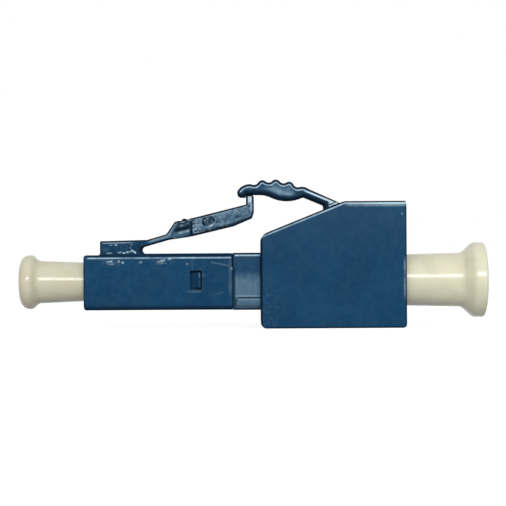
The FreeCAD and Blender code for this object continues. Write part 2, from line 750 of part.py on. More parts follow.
helix = doc.addObject("Part::Helix", "spring_line")
bind(helix, Radius="(spring_diameter - wire_diameter) / 2",
     Pitch="(spring_room - wire_diameter - 2 * spring_gap) / spring_turns",
     Height="spring_room - wire_diameter - 2 * spring_gap")
# A six-sided wire keeps the spring's mesh light.
wire = doc.addObject("Part::RegularPolygon", "wire_section")
wire.Polygon = 6
wire.Placement.Rotation = FreeCAD.Rotation(FreeCAD.Vector(1, 0, 0), 90)
bind(wire, Circumradius="wire_diameter / 2")
wire.setExpression("Placement.Base.x", formula("(spring_diameter - wire_diameter) / 2"))
spring = doc.addObject("Part::Sweep", "ferrule_spring")
spring.Label = "ferrule_spring"
spring.Sections = [wire]
spring.Spine = (helix, ["Edge1"])
spring.Solid = True
spring.Frenet = True
spring.Placement.Rotation = FreeCAD.Rotation(FreeCAD.Vector(0, 1, 0), 90)
spring.setExpression("Placement.Base.x", formula("collar_back + spring_gap + wire_diameter / 2"))

# Dust caps, turned about the axis

front_cap = piece("front_dust_cap")
flat = sketch(front_cap, "cap_half", "XZ_Plane")
outline(flat, [
    ("-front_cap_length", "0"),
    ("-front_cap_length", "front_flange / 2 - front_flange_round", "front_flange_round * (1 - sqrt(0.5))"),
    ("front_flange_round - front_cap_length", "front_flange / 2"),
    ("front_flange_width - front_cap_length", "front_flange / 2"),
    ("front_flange_width + front_flare - front_cap_length", "front_stem_end / 2"),
    ("0", "front_stem / 2"),
    ("front_cap_tip - cap_tip_round", "front_stem / 2"),
    ("front_cap_tip", "front_stem / 2 - cap_tip_round"),
    ("front_cap_tip", "front_cap_bore / 2"),
    ("front_cap_floor", "front_cap_bore / 2"),
    ("front_cap_floor", "0"),
])
spin(front_cap, flat, "cap")

rear_cap = piece("rear_dust_cap")
flat = sketch(rear_cap, "cap_half", "XZ_Plane")
outline(flat, [
    ("rear_cap_floor", "0"),
    ("rear_cap_floor", "rear_cap_bore / 2"),
    ("rear_cap_tip", "rear_cap_bore / 2"),
    ("rear_cap_tip", "rear_stem / 2 - cap_tip_round"),
    ("rear_cap_tip + cap_tip_round", "rear_stem / 2"),
    ("block_back", "rear_stem / 2"),
    ("rear_cap_end - rear_flange_width - rear_flare", "rear_stem_end / 2"),
    ("rear_cap_end - rear_flange_width", "rear_flange / 2"),
    ("rear_cap_end - rear_flange_round", "rear_flange / 2", "rear_flange_round * (1 - sqrt(0.5))"),
    ("rear_cap_end", "rear_flange / 2 - rear_flange_round"),
    ("rear_cap_end", "0"),
])
spin(rear_cap, flat, "cap")

# Check every object, then write each piece

doc.recompute()
failed = [thing.Name for thing in doc.Objects if {"Invalid", "Error"} & set(thing.State)]
if failed:
    raise RuntimeError("failed objects: " + ", ".join(failed))
os.makedirs("parts", exist_ok=True)
pieces = (front_cap, front, latch, ferrule, fibre, collar, spring, inner, holder, sleeve, rear, trigger, rear_cap)
for thing in pieces:
    shape = thing.Shape
    if shape.isNull() or not shape.isValid() or len(shape.Solids) != 1:
        raise RuntimeError("bad solid: " + thing.Label)
for thing in pieces:
    thing.Shape.exportStep(f"parts/{thing.Label}.step")
    box = thing.Shape.BoundBox
    print(f"{thing.Label}: {thing.Shape.Volume:.2f} mm3, X {box.XMin:.2f} to {box.XMax:.2f},"
          f" Z {box.ZMin:.2f} to {box.ZMax:.2f}")
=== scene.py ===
import bmesh
import bpy
import json
import math
from mathutils import Matrix, Vector
from mathutils.kdtree import KDTree


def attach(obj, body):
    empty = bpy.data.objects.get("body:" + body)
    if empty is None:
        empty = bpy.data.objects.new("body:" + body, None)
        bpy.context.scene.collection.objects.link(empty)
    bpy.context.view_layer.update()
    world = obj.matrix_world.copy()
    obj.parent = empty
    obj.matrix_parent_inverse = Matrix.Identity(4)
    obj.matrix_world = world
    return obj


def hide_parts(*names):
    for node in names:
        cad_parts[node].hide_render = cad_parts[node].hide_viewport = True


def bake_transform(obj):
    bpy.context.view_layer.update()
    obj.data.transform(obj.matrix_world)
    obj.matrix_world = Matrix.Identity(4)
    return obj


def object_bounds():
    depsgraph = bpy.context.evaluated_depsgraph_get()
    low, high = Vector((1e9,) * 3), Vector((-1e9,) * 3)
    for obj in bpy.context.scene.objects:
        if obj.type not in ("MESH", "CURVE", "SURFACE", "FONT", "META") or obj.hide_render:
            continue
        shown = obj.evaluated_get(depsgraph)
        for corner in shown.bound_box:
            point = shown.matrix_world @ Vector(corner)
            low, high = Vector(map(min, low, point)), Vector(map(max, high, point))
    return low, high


# Looks of the plug-in fibre attenuator. Pieces are shaped in millimetres and brought to metres at the end.

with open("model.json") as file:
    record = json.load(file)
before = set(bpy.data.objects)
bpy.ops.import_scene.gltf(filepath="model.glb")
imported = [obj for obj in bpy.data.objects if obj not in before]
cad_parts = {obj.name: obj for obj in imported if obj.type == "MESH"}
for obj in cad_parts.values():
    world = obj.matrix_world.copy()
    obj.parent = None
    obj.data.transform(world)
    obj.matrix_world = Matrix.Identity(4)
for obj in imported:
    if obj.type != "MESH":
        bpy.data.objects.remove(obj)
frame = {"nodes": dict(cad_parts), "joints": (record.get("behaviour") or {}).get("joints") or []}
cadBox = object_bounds()
mm = 0.001
joints = {joint["name"]: joint for joint in frame["joints"]}
print("frame loaded:", len(frame["nodes"]), "nodes")


# Shader maths: a wire is one output socket

class Wire:
    def __init__(self, tree, socket=None):
        self.tree = tree
        self.socket = socket

    def node(self, kind, settings=None, links=None, out=0):
        made = self.tree.nodes.new(kind)
        for name, value in (settings or {}).items():
            setattr(made, name, value)
        for name, value in (links or {}).items():
            socket = made.inputs[name]
            if isinstance(value, Wire):
                self.tree.links.new(value.socket, socket)
            else:
                socket.default_value = value
        return Wire(self.tree, made.outputs[out] if made.outputs else None)

    def math(self, operation, first, second=0.0):
        return self.node("ShaderNodeMath", {"operation": operation}, {0: first, 1: second})

    def __add__(self, other):
        return self.math("ADD", self, other)

    def __radd__(self, other):
        return self.math("ADD", other, self)

    def __sub__(self, other):
        return self.math("SUBTRACT", self, other)

    def __rsub__(self, other):
        return self.math("SUBTRACT", other, self)

    def __mul__(self, other):
        return self.math("MULTIPLY", self, other)

    def __rmul__(self, other):
        return self.math("MULTIPLY", other, self)

    def __pow__(self, other):
        return self.math("POWER", self, other)

    def __abs__(self):
        return self.math("ABSOLUTE", self)

    def most(self, other):
        return self.math("MAXIMUM", self, other)

    def least(self, other):
        return self.math("MINIMUM", self, other)

    def ease(self, low, high):                      # 0 below low, 1 above high, smooth between
        return self.node("ShaderNodeMapRange", {"interpolation_type": "SMOOTHSTEP"},
                         {"Value": self, "From Min": low, "From Max": high})

    def fade(self, low, high):                      # 1 below low, 0 above high
        return 1 - self.ease(low, high)

    def within(self, low, high, soft):              # 1 between low and high, soft at both ends
        return self.ease(low - soft, low + soft) * self.fade(high - soft, high + soft)

    def mix(self, first, second):                   # colours by this factor
        return self.node("ShaderNodeMix", {"data_type": "RGBA"}, {0: self, 6: first, 7: second}, out=2)


def newMaterial(name):
    material = bpy.data.materials.new(name)
    material.use_nodes = True
    material.node_tree.nodes.clear()
    return material, Wire(material.node_tree)


def finishSurface(start, constants, links):
    shader = start.node("ShaderNodeBsdfPrincipled", None, {**constants, **links})
    start.node("ShaderNodeOutputMaterial", None, {"Surface": shader})


def places(start):                                  # millimetre coordinates of the piece
    spot = start.node("ShaderNodeTexCoord", out="Object")
    grown = start.node("ShaderNodeVectorMath", {"operation": "SCALE"}, {0: spot, "Scale": 1 / mm})
    parts = start.node("ShaderNodeSeparateXYZ", None, {0: grown})
    axes = [Wire(start.tree, parts.socket.node.outputs[number]) for number in range(3)]
    return grown, axes


def noise(start, spot, scale, detail=3, rough=0.55, stretch=None):
    if stretch:
        spot = start.node("ShaderNodeMapping", None, {"Vector": spot, "Scale": stretch})
    return start.node("ShaderNodeTexNoise", None,
                      {"Vector": spot, "Scale": scale, "Detail": detail, "Roughness": rough})


def wobble(start, spot, *pattern):                  # noise about zero
    return noise(start, spot, *pattern) - 0.5


def cloud(start, spot, scale, detail, rough, low, high, stretch=None):    # noise made into soft patches
    return noise(start, spot, scale, detail, rough, stretch).ease(low, high)


def bumps(start, look, height):
    return start.node("ShaderNodeBump", None,
                      {"Strength": look["bump"], "Distance": look["bumpDepth"], "Height": height})


# Marks on side faces. Patterns are scale, detail and roughness of a noise, then the span it is eased over.

markLook = {
    "core": 0.1,                 # shares of a mark's width
    "edge": 1.25,
    "ends": 0.8,
    "wobbleX": (4.5, 4, 0.7),    # what makes a mark ragged
    "wobbleZ": (6.5, 4, 0.7),
    "crumbs": (5.0, 5, 0.7, 0.36, 0.52),
    "sideBlur": 0.3,             # between the photographed side and the hidden one
}


def stroke(axes, first, last, width):               # a soft straight mark
    x, z = axes[0], axes[2]
    length = math.dist(first, last)
    run, rise = (last[0] - first[0]) / length, (last[1] - first[1]) / length
    away = abs((z - first[1]) * run - (x - first[0]) * rise)
    along = (x - first[0]) * run + (z - first[1]) * rise
    line = away.fade(markLook["core"] * width, markLook["edge"] * width)
    return line * along.within(0, length, markLook["ends"] * width)


def strokes(start, spot, axes, marks, ragged):      # each mark: ends, width, strength
    x, y, z = axes
    rough = [x + ragged * wobble(start, spot, *markLook["wobbleX"]), y,
             z + ragged * wobble(start, spot, *markLook["wobbleZ"])]
    made = [stroke(rough, first, last, width) * strength for first, last, width, strength in marks]
    most = made[0]
    for mark in made[1:]:
        most = most.most(mark)
    return most


def seenSide(axes):                                 # 1 on the photographed side; the other has no scuffs
    return axes[1].fade(-markLook["sideBlur"], markLook["sideBlur"])


def rimOf(start):                                   # distance from a lever's outline, and its upward facing
    return [start.node("ShaderNodeAttribute", {"attribute_name": name}, out="Fac")
            for name in ("rimDistance", "rimUp")]


# Blue moulded plastic, with painted-in grain and wear, painted shade along edges and in hollows, and
# painted highlights and sheen, for each piece

blueLook = {
    "deep": (0.0012, 0.0455, 0.117, 1),
    "lit": (0.0022, 0.0548, 0.134, 1),
    "grain": (0.1, 0.197, 0.283, 1),              # greyer where the mould was textured, and a painted sheen on the trigger's belly and the neck's lower part
    # painted shade along edges, in hollows and seams, with the darker patches of the bar's grain
    "shade": (0.0, 0.009, 0.022, 1),
    # pale: wear and scuffs, and painted highlights and sheen along edges
    "worn": (0.64, 0.86, 0.97, 1),
    "clouds": (0.35, 4, 0.55, 0.32, 0.7),
    "specular": 0.078,
    "rough": 0.24,
    "roughSpread": 0.1,
    "roughScale": 2.4,
    "roughAdded": {"grain": 0.22, "shade": 0.3, "worn": 0.12, "dull": 0.6},
    "coarse": (9.0, 5, 0.65),
    "fine": (26.0, 2),
    "coarseShare": 0.6,
    "bump": 0.2,
    "bumpDepth": 0.00002,
}


def bluePlastic(name, paint=None):
    look = blueLook
    material, start = newMaterial(name)
    spot, axes = places(start)
    colour = cloud(start, spot, *look["clouds"]).mix(look["deep"], look["lit"])
    rough = look["rough"] + look["roughSpread"] * noise(start, spot, look["roughScale"])
    masks = paint(start, spot, axes) if paint else {}
    # each mask mixes in its colour: grain with painted sheen, painted shade, and wear with painted
    # highlights
    for kind, added in look["roughAdded"].items():
        if kind in masks:
            rough = rough + added * masks[kind]
            if kind in look:
                colour = masks[kind].mix(colour, look[kind])
    share = look["coarseShare"]
    height = share * noise(start, spot, *look["coarse"]) + (1 - share) * noise(start, spot, *look["fine"])
    finishSurface(start, {"Specular IOR Level": look["specular"]},
                  {"Base Color": colour, "Roughness": rough, "Normal": bumps(start, look, height)})
    return material


# Cream moulded plastic of the caps, a little milky

creamLook = {
    "front": ((0.735, 0.71, 0.55, 1), (0.68, 0.64, 0.465, 1)),
    "rear": ((0.87, 0.845, 0.655, 1), (0.79, 0.76, 0.57, 1)),
    "clouds": (0.45, 3, 0.55, 0.3, 0.72),
    "rough": 0.16,
    "roughSpread": 0.1,
    "roughScale": 3.0,
    "waves": (4.5, 3),
    "bump": 0.2,
    "bumpDepth": 0.00004,
    "specular": 0.45,
    "milky": 0.5,                                  # light that goes in and comes out again
    "milkyDepth": 0.0006,
    "milkyTint": (1.0, 0.9, 0.6),
}


def creamPlastic(name, tones):
    look = creamLook
    material, start = newMaterial(name)
    spot = places(start)[0]
    colour = cloud(start, spot, *look["clouds"]).mix(*tones)
    rough = look["rough"] + look["roughSpread"] * noise(start, spot, look["roughScale"])
    normal = bumps(start, look, noise(start, spot, *look["waves"]))
    finishSurface(start, {"Specular IOR Level": look["specular"], "Subsurface Weight": look["milky"],
                          "Subsurface Scale": look["milkyDepth"], "Subsurface Radius": look["milkyTint"]},
                  {"Base Color": colour, "Roughness": rough, "Normal": normal})
    return material


# Finishes of the hidden pieces: two tones, roughness, metal and the stretch of the streaks

plainLook = {
    "streaks": (3.0, 4, 0.6),
    "streakSpan": (0.3, 0.7),
    "roughness": (7.0, 3, 0.6),
    "roughSpread": 0.15,
    "bump": 0.1,
    "bumpDepth": 0.00001,
    "specular": 0.5,
    "ceramicWhite": ((0.86, 0.85, 0.82, 1), (0.9, 0.89, 0.87, 1), 0.08),
    "collarNickel": ((0.66, 0.62, 0.54, 1), (0.72, 0.69, 0.62, 1), 0.22, 1.0, (0.2, 3, 3)),
    "springSteel": ((0.5, 0.5, 0.51, 1), (0.6, 0.6, 0.61, 1), 0.26, 1.0),
    "fibreGlass": ((0.88, 0.92, 0.95, 1), (0.93, 0.95, 0.97, 1), 0.05),
}


def plainFinish(name, first, second, rough, metal=0.0, stretch=None):
    look = plainLook
    material, start = newMaterial(name)
    spot = places(start)[0]
    streak = noise(start, spot, *look["streaks"], stretch)
    colour = streak.ease(*look["streakSpan"]).mix(first, second)
    roughness = rough + look["roughSpread"] * noise(start, spot, *look["roughness"], stretch)
    finishSurface(start, {"Specular IOR Level": look["specular"], "Metallic": metal},
                  {"Base Color": colour, "Roughness": roughness, "Normal": bumps(start, look, streak)})
    return material


# Meshes from the frame

meshing = {
    "weld": 0.0008,              # points nearer than this are one
    "cut": 0.0002,               # points nearer to a cut than this lie on it
    "level": 0.0005,             # play in the height of a face
    "touch": 0.01,               # play beside a line
    "trim": 0.004,               # above a face, where what stands on it is cut off
    "flatAngle": 0.4,            # degrees: faces that turn less are joined
    "bevelAngle": 32,            # edges that turn more get a round
    "bevelRoom": 0.45,           # of the face beside an edge, at most
    "smoothAngle": 40,
    "evenWeight": 100,
}


def weld(mesh):
    bmesh.ops.remove_doubles(mesh, verts=mesh.verts, dist=meshing["weld"])


def joinFlats(mesh):
    bmesh.ops.dissolve_limit(mesh, angle_limit=math.radians(meshing["flatAngle"]), verts=mesh.verts[:],
                             edges=mesh.edges[:])


def cadCopy(node):                                  # merged copy in millimetres, flat faces joined
    mesh = bmesh.new()
    mesh.from_mesh(frame["nodes"][node].data)
    bmesh.ops.scale(mesh, vec=(1 / mm,) * 3, verts=mesh.verts)
    weld(mesh)
    joinFlats(mesh)
    return mesh


# Edges along a cut, with what lies behind it dropped if asked for
def cutAt(mesh, point, normal, parts=None, keepAhead=False):
    parts = parts or mesh.verts[:] + mesh.edges[:] + mesh.faces[:]
    cut = bmesh.ops.bisect_plane(mesh, geom=parts, dist=meshing["cut"], plane_co=point, plane_no=normal,
                                 clear_inner=keepAhead)
    return [item for item in cut["geom_cut"] if isinstance(item, bmesh.types.BMEdge)]


def levelled(node, point, upright):                 # copy without what stands on one of its faces
    mesh = cadCopy(node)
    trim = upright * meshing["trim"]
    rim = cutAt(mesh, point + trim, -upright, keepAhead=True)
    for vert in {vert for edge in rim for vert in edge.verts}:
        vert.co -= trim
    bmesh.ops.triangle_fill(mesh, edges=rim, use_beauty=True)
    weld(mesh)
    joinFlats(mesh)
    return mesh


def outlines(node, half=False, depth=0.0):          # ordered section outlines in an upright plane
    mesh = cadCopy(node)
    if half:
        cutAt(mesh, (0, 0, 0), (0, 0, 1), keepAhead=True)
    links = {}
    for edge in cutAt(mesh, (0, depth, 0), (0, 1, 0)):
        first, last = edge.verts
        links.setdefault(first, []).append(last)
        links.setdefault(last, []).append(first)
    found = []
    while links:
        loop = [min(links, key=lambda vert: len(links[vert]))]
        while True:
            after = [vert for vert in links.pop(loop[-1]) if vert in links]
            if not after:
                break
            loop.append(after[0])
        found.append([Vector((vert.co.x, 0, vert.co.z)) for vert in loop])
    mesh.free()
    return found


def newObject(name, mesh, material):
    bmesh.ops.recalc_face_normals(mesh, faces=mesh.faces[:])
    data = bpy.data.meshes.new(name)
    mesh.to_mesh(data)
    mesh.free()
    data.materials.append(material)
    piece = bpy.data.objects.new(name, data)
    bpy.context.scene.collection.objects.link(piece)
    return piece


def bakeModifiers(piece):
    graph = bpy.context.evaluated_depsgraph_get()
    result = bpy.data.meshes.new_from_object(piece.evaluated_get(graph), depsgraph=graph)
    old = piece.data
    name = old.name
    piece.modifiers.clear()
    piece.data = result
    bpy.data.meshes.remove(old)
    piece.data.name = name


def settle(piece, sharp=meshing["smoothAngle"]):    # metres, smooth shading, flat faces kept flat
    piece.data.transform(Matrix.Scale(mm, 4))
    for face in piece.data.polygons:
        face.use_smooth = True
    piece.data.set_sharp_from_angle(angle=math.radians(sharp))
    evener = piece.modifiers.new("evener", "WEIGHTED_NORMAL")
    evener.keep_sharp = True
    evener.weight = meshing["evenWeight"]
    bakeModifiers(piece)
    return piece


def makePiece(name, mesh, material, width, share=None, segments=4):    # share: of the width, by place
    angle = math.radians(meshing["bevelAngle"])
    weights = mesh.edges.layers.float.new("bevel_weight_edge")
    for edge in mesh.edges:
        if len(edge.link_faces) == 2 and edge.calc_face_angle(0) > angle:
            room = min(face.calc_area() for face in edge.link_faces) / edge.calc_length()
            middle = (edge.verts[0].co + edge.verts[1].co) / 2
            edge[weights] = min(share(middle) if share else 1, meshing["bevelRoom"] * room / width)
    piece = newObject(name, mesh, material)
    rounder = piece.modifiers.new("rounder", "BEVEL")
    rounder.width = width
    rounder.segments = segments
    rounder.limit_method = "WEIGHT"
    rounder.use_clamp_overlap = False
    bakeModifiers(piece)
    return settle(piece)


def shown(piece, slotName, *nodes):
    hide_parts(*nodes)
    print(piece.name, "has", len(piece.data.polygons), "faces")


# Levers that are one moulding with their roots: outlines fused across the bending line

slabLook = {
    "cornerAngle": 20,           # degrees: outlines that turn more get a round
    "cornerRoom": 0.4,           # of a side, at most
    "steps": 4,                  # in a round
    "mitre": 0.4,                # limits how far a sharp corner moves in
    "hollowShare": 0.5,          # of the corner's round
    "sidePlay": 0.0001,
    "rimSpacing": 0.02,
}


def pivotOf(jointName):
    return Vector(joints[jointName]["pos_m"]) / mm


def runOf(loop, keep):                              # the unbroken run of points to keep
    gap = next(index for index, spot in enumerate(loop) if not keep(spot))
    return [spot for spot in loop[gap:] + loop[:gap] if keep(spot)]


def fused(fixed, moving, pivot, fixedClear, movingClear):
    near = [index for index, spot in enumerate(fixed) if (spot - pivot).length < fixedClear]
    first, last = fixed[:near[0]], fixed[near[-1] + 1:]
    lever = runOf(moving, lambda spot: (spot - pivot).length > movingClear)
    straight = (lever[0] - first[-1]).length + (lever[-1] - last[0]).length
    crossed = (lever[-1] - first[-1]).length + (lever[0] - last[0]).length
    return first + (lever if straight < crossed else lever[::-1]) + last


def softened(outline, radius):                      # corners of an outline turned into short curves
    room, steps = slabLook["cornerRoom"], slabLook["steps"]
    soft = []
    for index, spot in enumerate(outline):
        before, after = outline[index - 1] - spot, outline[(index + 1) % len(outline)] - spot
        if before.angle(-after) < math.radians(slabLook["cornerAngle"]):
            soft.append(spot)
            continue
        start = spot + before.normalized() * min(radius, room * before.length)
        end = spot + after.normalized() * min(radius, room * after.length)
        for step in range(steps + 1):
            part = step / steps
            soft.append(start * (1 - part) ** 2 + spot * 2 * part * (1 - part) + end * part ** 2)
    return soft


def sunken(mesh, ring, hollow, depth):              # closes a ring of points, with a hollow in its face
    level = ring[0].co.y
    mouth, bottom = [[mesh.verts.new((spot.x, height, spot.z)) for spot in hollow]
                     for height in (level, level - depth)]
    for index in range(len(hollow)):
        mesh.faces.new((mouth[index - 1], mouth[index], bottom[index], bottom[index - 1]))
    mesh.faces.new(bottom)
    rims = [mesh.edges.get((loop[index - 1], loop[index]))
            for loop in (ring, mouth) for index in range(len(loop))]
    bmesh.ops.triangle_fill(mesh, edges=rims, use_beauty=True)


# An outline given a thickness and rounded rims, with a hollow in one side if asked for
def slab(outline, half, width, corner, hollow=None, depth=0):
    outline = softened(outline, corner)
    count = len(outline)
    area = sum(outline[i - 1].x * outline[i].z - outline[i].x * outline[i - 1].z for i in range(count))
    if area < 0:
        outline.reverse()
    outward, shift = [], []
    for index in range(count):
        ahead = (outline[(index + 1) % count] - outline[index]).normalized()
        behind = (outline[index] - outline[index - 1]).normalized()
        normal = Vector((ahead.z + behind.z, 0, -ahead.x - behind.x)).normalized()
        outward.append(normal)
        shift.append(normal / max(slabLook["mitre"], normal.dot(Vector((ahead.z, 0, -ahead.x)))))
    rows = []
    for step in range(slabLook["steps"] + 1):
        turn = math.radians(90) * step / slabLook["steps"]
        rows.append((width * (1 - math.sin(turn)), width * (1 - math.cos(turn)) - half))
    rows += [(inset, -place) for inset, place in reversed(rows)]
    mesh = bmesh.new()
    rings = [[mesh.verts.new((spot.x - move.x * inset, place, spot.z - move.z * inset))
              for spot, move in zip(outline, shift)] for inset, place in rows]
    for first, second in zip(rings, rings[1:]):
        for index in range(count):
            mesh.faces.new((first[index - 1], first[index], second[index], second[index - 1]))
    mesh.faces.new(rings[0])
    if hollow:
        sunken(mesh, rings[-1], softened(hollow, slabLook["hollowShare"] * corner), depth)
    else:
        mesh.faces.new(rings[-1])
    return mesh, outline, outward


def leverBody(outline, look, pivot, along):         # a slab cut across its bend, with a grid on its sides
    mesh, outline, outward = slab(outline, look["halfWidth"], look["bevel"], look["corner"])
    span = look["bendEnd"] - look["bendStart"]
    for step in range(look["steps"] + 1):
        cutAt(mesh, pivot + along * (look["bendStart"] + span * step / look["steps"]), along)
    outer = look["halfWidth"] - slabLook["sidePlay"]
    for axis in (0, 2):
        least, most = [end(spot[axis] for spot in outline) for end in (min, max)]
        direction = Vector((axis == 0, 0, axis == 2))
        for step in range(1, int((most - least) / look["grid"])):
            sides = [face for face in mesh.faces if all(abs(vert.co.y) > outer for vert in face.verts)]
            parts = list({part for face in sides for part in [*face.verts, *face.edges]}) + sides
            cutAt(mesh, direction * (least + look["grid"] * step), direction, parts)
    markRims(mesh, outline, outward)
    return mesh


def markRims(mesh, outline, outward):               # distance from the outline, for the painted shade and painted highlights along the edges
    samples = []
    for index, spot in enumerate(outline):
        step = outline[index - 1] - spot
        pieces = max(1, int(step.length / slabLook["rimSpacing"]))
        samples += [(spot + step * part / pieces, outward[index].z) for part in range(pieces)]
    tree = KDTree(len(samples))
    for index, sample in enumerate(samples):
        tree.insert(sample[0], index)
    tree.balance()
    distance = mesh.verts.layers.float.new("rimDistance")
    up = mesh.verts.layers.float.new("rimUp")
    for vert in mesh.verts:
        spot, index, away = tree.find((vert.co.x, 0, vert.co.z))
        vert[distance] = away
        vert[up] = samples[index][1]


# Latch: strip, ramp, textured bar and tab, one moulding with its root

latchLook = {
    "stripAngle": 16.0,          # of the bending strip, degrees
    "bendStart": -0.3,           # along the strip, from the bending line
    "bendEnd": 0.8,
    "steps": 12,
    "rootClear": 0.262,          # the hinge's rounds, left out of the one moulding
    "leverClear": 0.2315,
    "rootReach": 0.5,            # past the bending line
    "halfWidth": 1.1,
    "bevel": 0.07,
    "corner": 0.06,
    "grid": 0.07,
    "sink": 0.1,                 # of the root into the plug
    "slotEnd": {"start": 4.6, "top": 3.0, "deeper": 0.2, "squash": 0.92},    # of the slot under the strip
    "barStart": (8.66, 5.138),   # of the bar's top line
    "barRise": 0.2356,
    "bumps": [(7.6, -0.02), (7.8, -0.08), (7.95, 0.05), (8.05, 0.06), (8.2, -0.01), (8.3, -0.08),
              (8.45, -0.09), (8.6, -0.05)],
    # Patterns, some of them stretched along the bar
    "grainTurn": 13.25,          # degrees
    "mottle": (3.2, 6, 0.72, 0.36, 0.62, (0.6, 1, 1.4)),
    "blots": (1.5, 5, 0.75, 0.4, 0.66),
    "specks": (5.5, 4, 0.65, 0.48, 0.64, (0.7, 1, 1.2)),
    "rootGrain": (2.2, 5, 0.75, 0.48, 0.7),
    "patches": (2.4, 6, 0.8, (0.7, 1, 1.3)),
    "palePatches": (0.49, 0.63),
    "darkPatches": (0.38, 0.5),
    # Zones: from and to, and how soft both ends are where a zone has two
    "side": (0.98, 1.05),
    "bar": (8.62, 8.8),
    "root": (4.5, 5.0),
    "strip": (5.2, 8.4, 0.3),
    "stripFade": (6.85, 7.15),
    "paleFade": (9.4, 11.6),
    "speckFront": (8.9, 9.8),
    "speckCatch": (8.85, 9.2),
    "speckRear": (11.2, 12.2),
    "speckBelow": (0.1, 0.45, 0.1),
    "calm": (11.0, 12.6, 0.4),
    "calmBelow": (0.6, 1.0, 0.12),
    "rootEdge": (3.4, 4.2),
    "rootLow": (2.9, 3.1),
    "underBar": (8.4, 9.0),
    # painted shade in the slot under the strip
    "slotDark": (4.2, 4.8, 0.25),
    "slotLow": (2.85, 3.15),
    # painted highlight on the tab
    "tabStreak": (13.17, 13.46, 0.05),
    "tabStreakLow": (6.1, 6.5),
    "tabStreakHigh": (6.74, 6.9),
    "tabEdge": (13.36, 13.5, 0.05),
    "tabEdgeHeight": (5.6, 6.3, 0.15),
    "tabDark": (13.1, 13.3, 0.06),
    "tabDarkHeight": (5.85, 6.15, 0.1),
    # Distances from the rim, and how far it faces up
    # rim, underRim and facingDown: painted shade along the outline and under downward rims; sheen and edge:
    # painted highlights
    "rim": (0.07, 0.15),
    "underRim": (0.16, 0.36),
    "facingDown": (-0.6, -0.1),
    "barInside": (0.12, 0.26),
    "stripInside": (0.1, 0.18),
    "paleInside": (0.16, 0.26),
    "patchInside": (0.1, 0.2),
    "sheen": (0.12, 0.24, 0.04),
    "sheenUp": (0.0, 0.5),
    "edge": (0.14, 0.22, 0.03),
    "edgeUp": (0.2, 0.7),
    "ragged": 0.25,
    "flecks": [((2.0, 2.95), (2.25, 2.95), 0.07, 0.3), ((2.4, 3.0), (2.65, 2.95), 0.08, 0.55),
               ((3.75, 2.95), (3.8, 2.95), 0.1, 0.5), ((3.65, 2.75), (3.75, 2.65), 0.07, 0.3),
               ((2.75, 2.35), (3.0, 2.4), 0.07, 0.5), ((3.05, 2.3), (3.25, 2.3), 0.09, 1.0),
               ((3.3, 2.35), (3.55, 2.4), 0.08, 0.7), ((3.55, 2.35), (3.65, 2.4), 0.07, 0.5),
               ((3.7, 2.45), (3.8, 2.55), 0.08, 1.0), ((3.8, 2.55), (3.95, 2.4), 0.08, 1.0),
               ((3.95, 2.45), (4.15, 2.3), 0.08, 1.0), ((1.8, 2.3), (2.2, 2.3), 0.07, 0.45)],
    "mark": {                    # round moulding mark, its ring painted shade and its crescent a painted highlight
        "centre": (9.98, 4.848),
        "squash": 1.3,
        "wobble": (3.6, 4, 0.7),
        "ragged": 0.34,
        "lean": 0.4,
        "lower": (0.15, 0.4),
        "ring": (0.35, 0.53, 0.05),
        "crescent": (0.46, 0.62, 0.06),
        "crescentAlong": (-0.05, 0.35, 0.12),
        "inner": (0.26, 0.4),
        "crumbs": (4.5, 4, 0.7, 0.44, 0.54),
    },
}


def barTop(x):                                      # height of the bar's top line
    return latchLook["barStart"][1] + latchLook["barRise"] * (x - latchLook["barStart"][0])


def bumpyTop(outline):                              # small bumps along the top, over the lugs
    rough = []
    for before, spot in zip(outline[-1:] + outline[:-1], outline):
        if all(abs(end.z - barTop(end.x)) < meshing["touch"] for end in (before, spot)):
            low, high = sorted((before.x, spot.x))
            inside = [Vector((x, 0, barTop(x) + rise)) for x, rise in latchLook["bumps"] if low < x < high]
            rough += inside if spot.x > before.x else inside[::-1]
        rough.append(spot)
    return rough


def roundMark(start, spot, axes):                   # dark ring as painted shade of the shallow recess' wall, pale crescent below it as its painted highlight, dark crumbs inside
    look = latchLook["mark"]
    x, z = axes[0], axes[2]
    turn = math.radians(latchLook["grainTurn"])
    across, rise = x - look["centre"][0], z - look["centre"][1]
    along = math.cos(turn) * across + math.sin(turn) * rise
    over = look["squash"] * (math.cos(turn) * rise - math.sin(turn) * across)
    reach = (along * along + over * over) ** 0.5 + look["ragged"] * wobble(start, spot, *look["wobble"])
    lower = (look["lean"] * across - rise).ease(*look["lower"])
    seen = seenSide(axes)
    ring = seen * reach.within(*look["ring"]) * (1 - 0.75 * lower)
    crescent = seen * reach.within(*look["crescent"]) * lower * along.within(*look["crescentAlong"])
    inner = seen * reach.fade(*look["inner"]) * cloud(start, spot, *look["crumbs"])
    return ring, crescent, inner


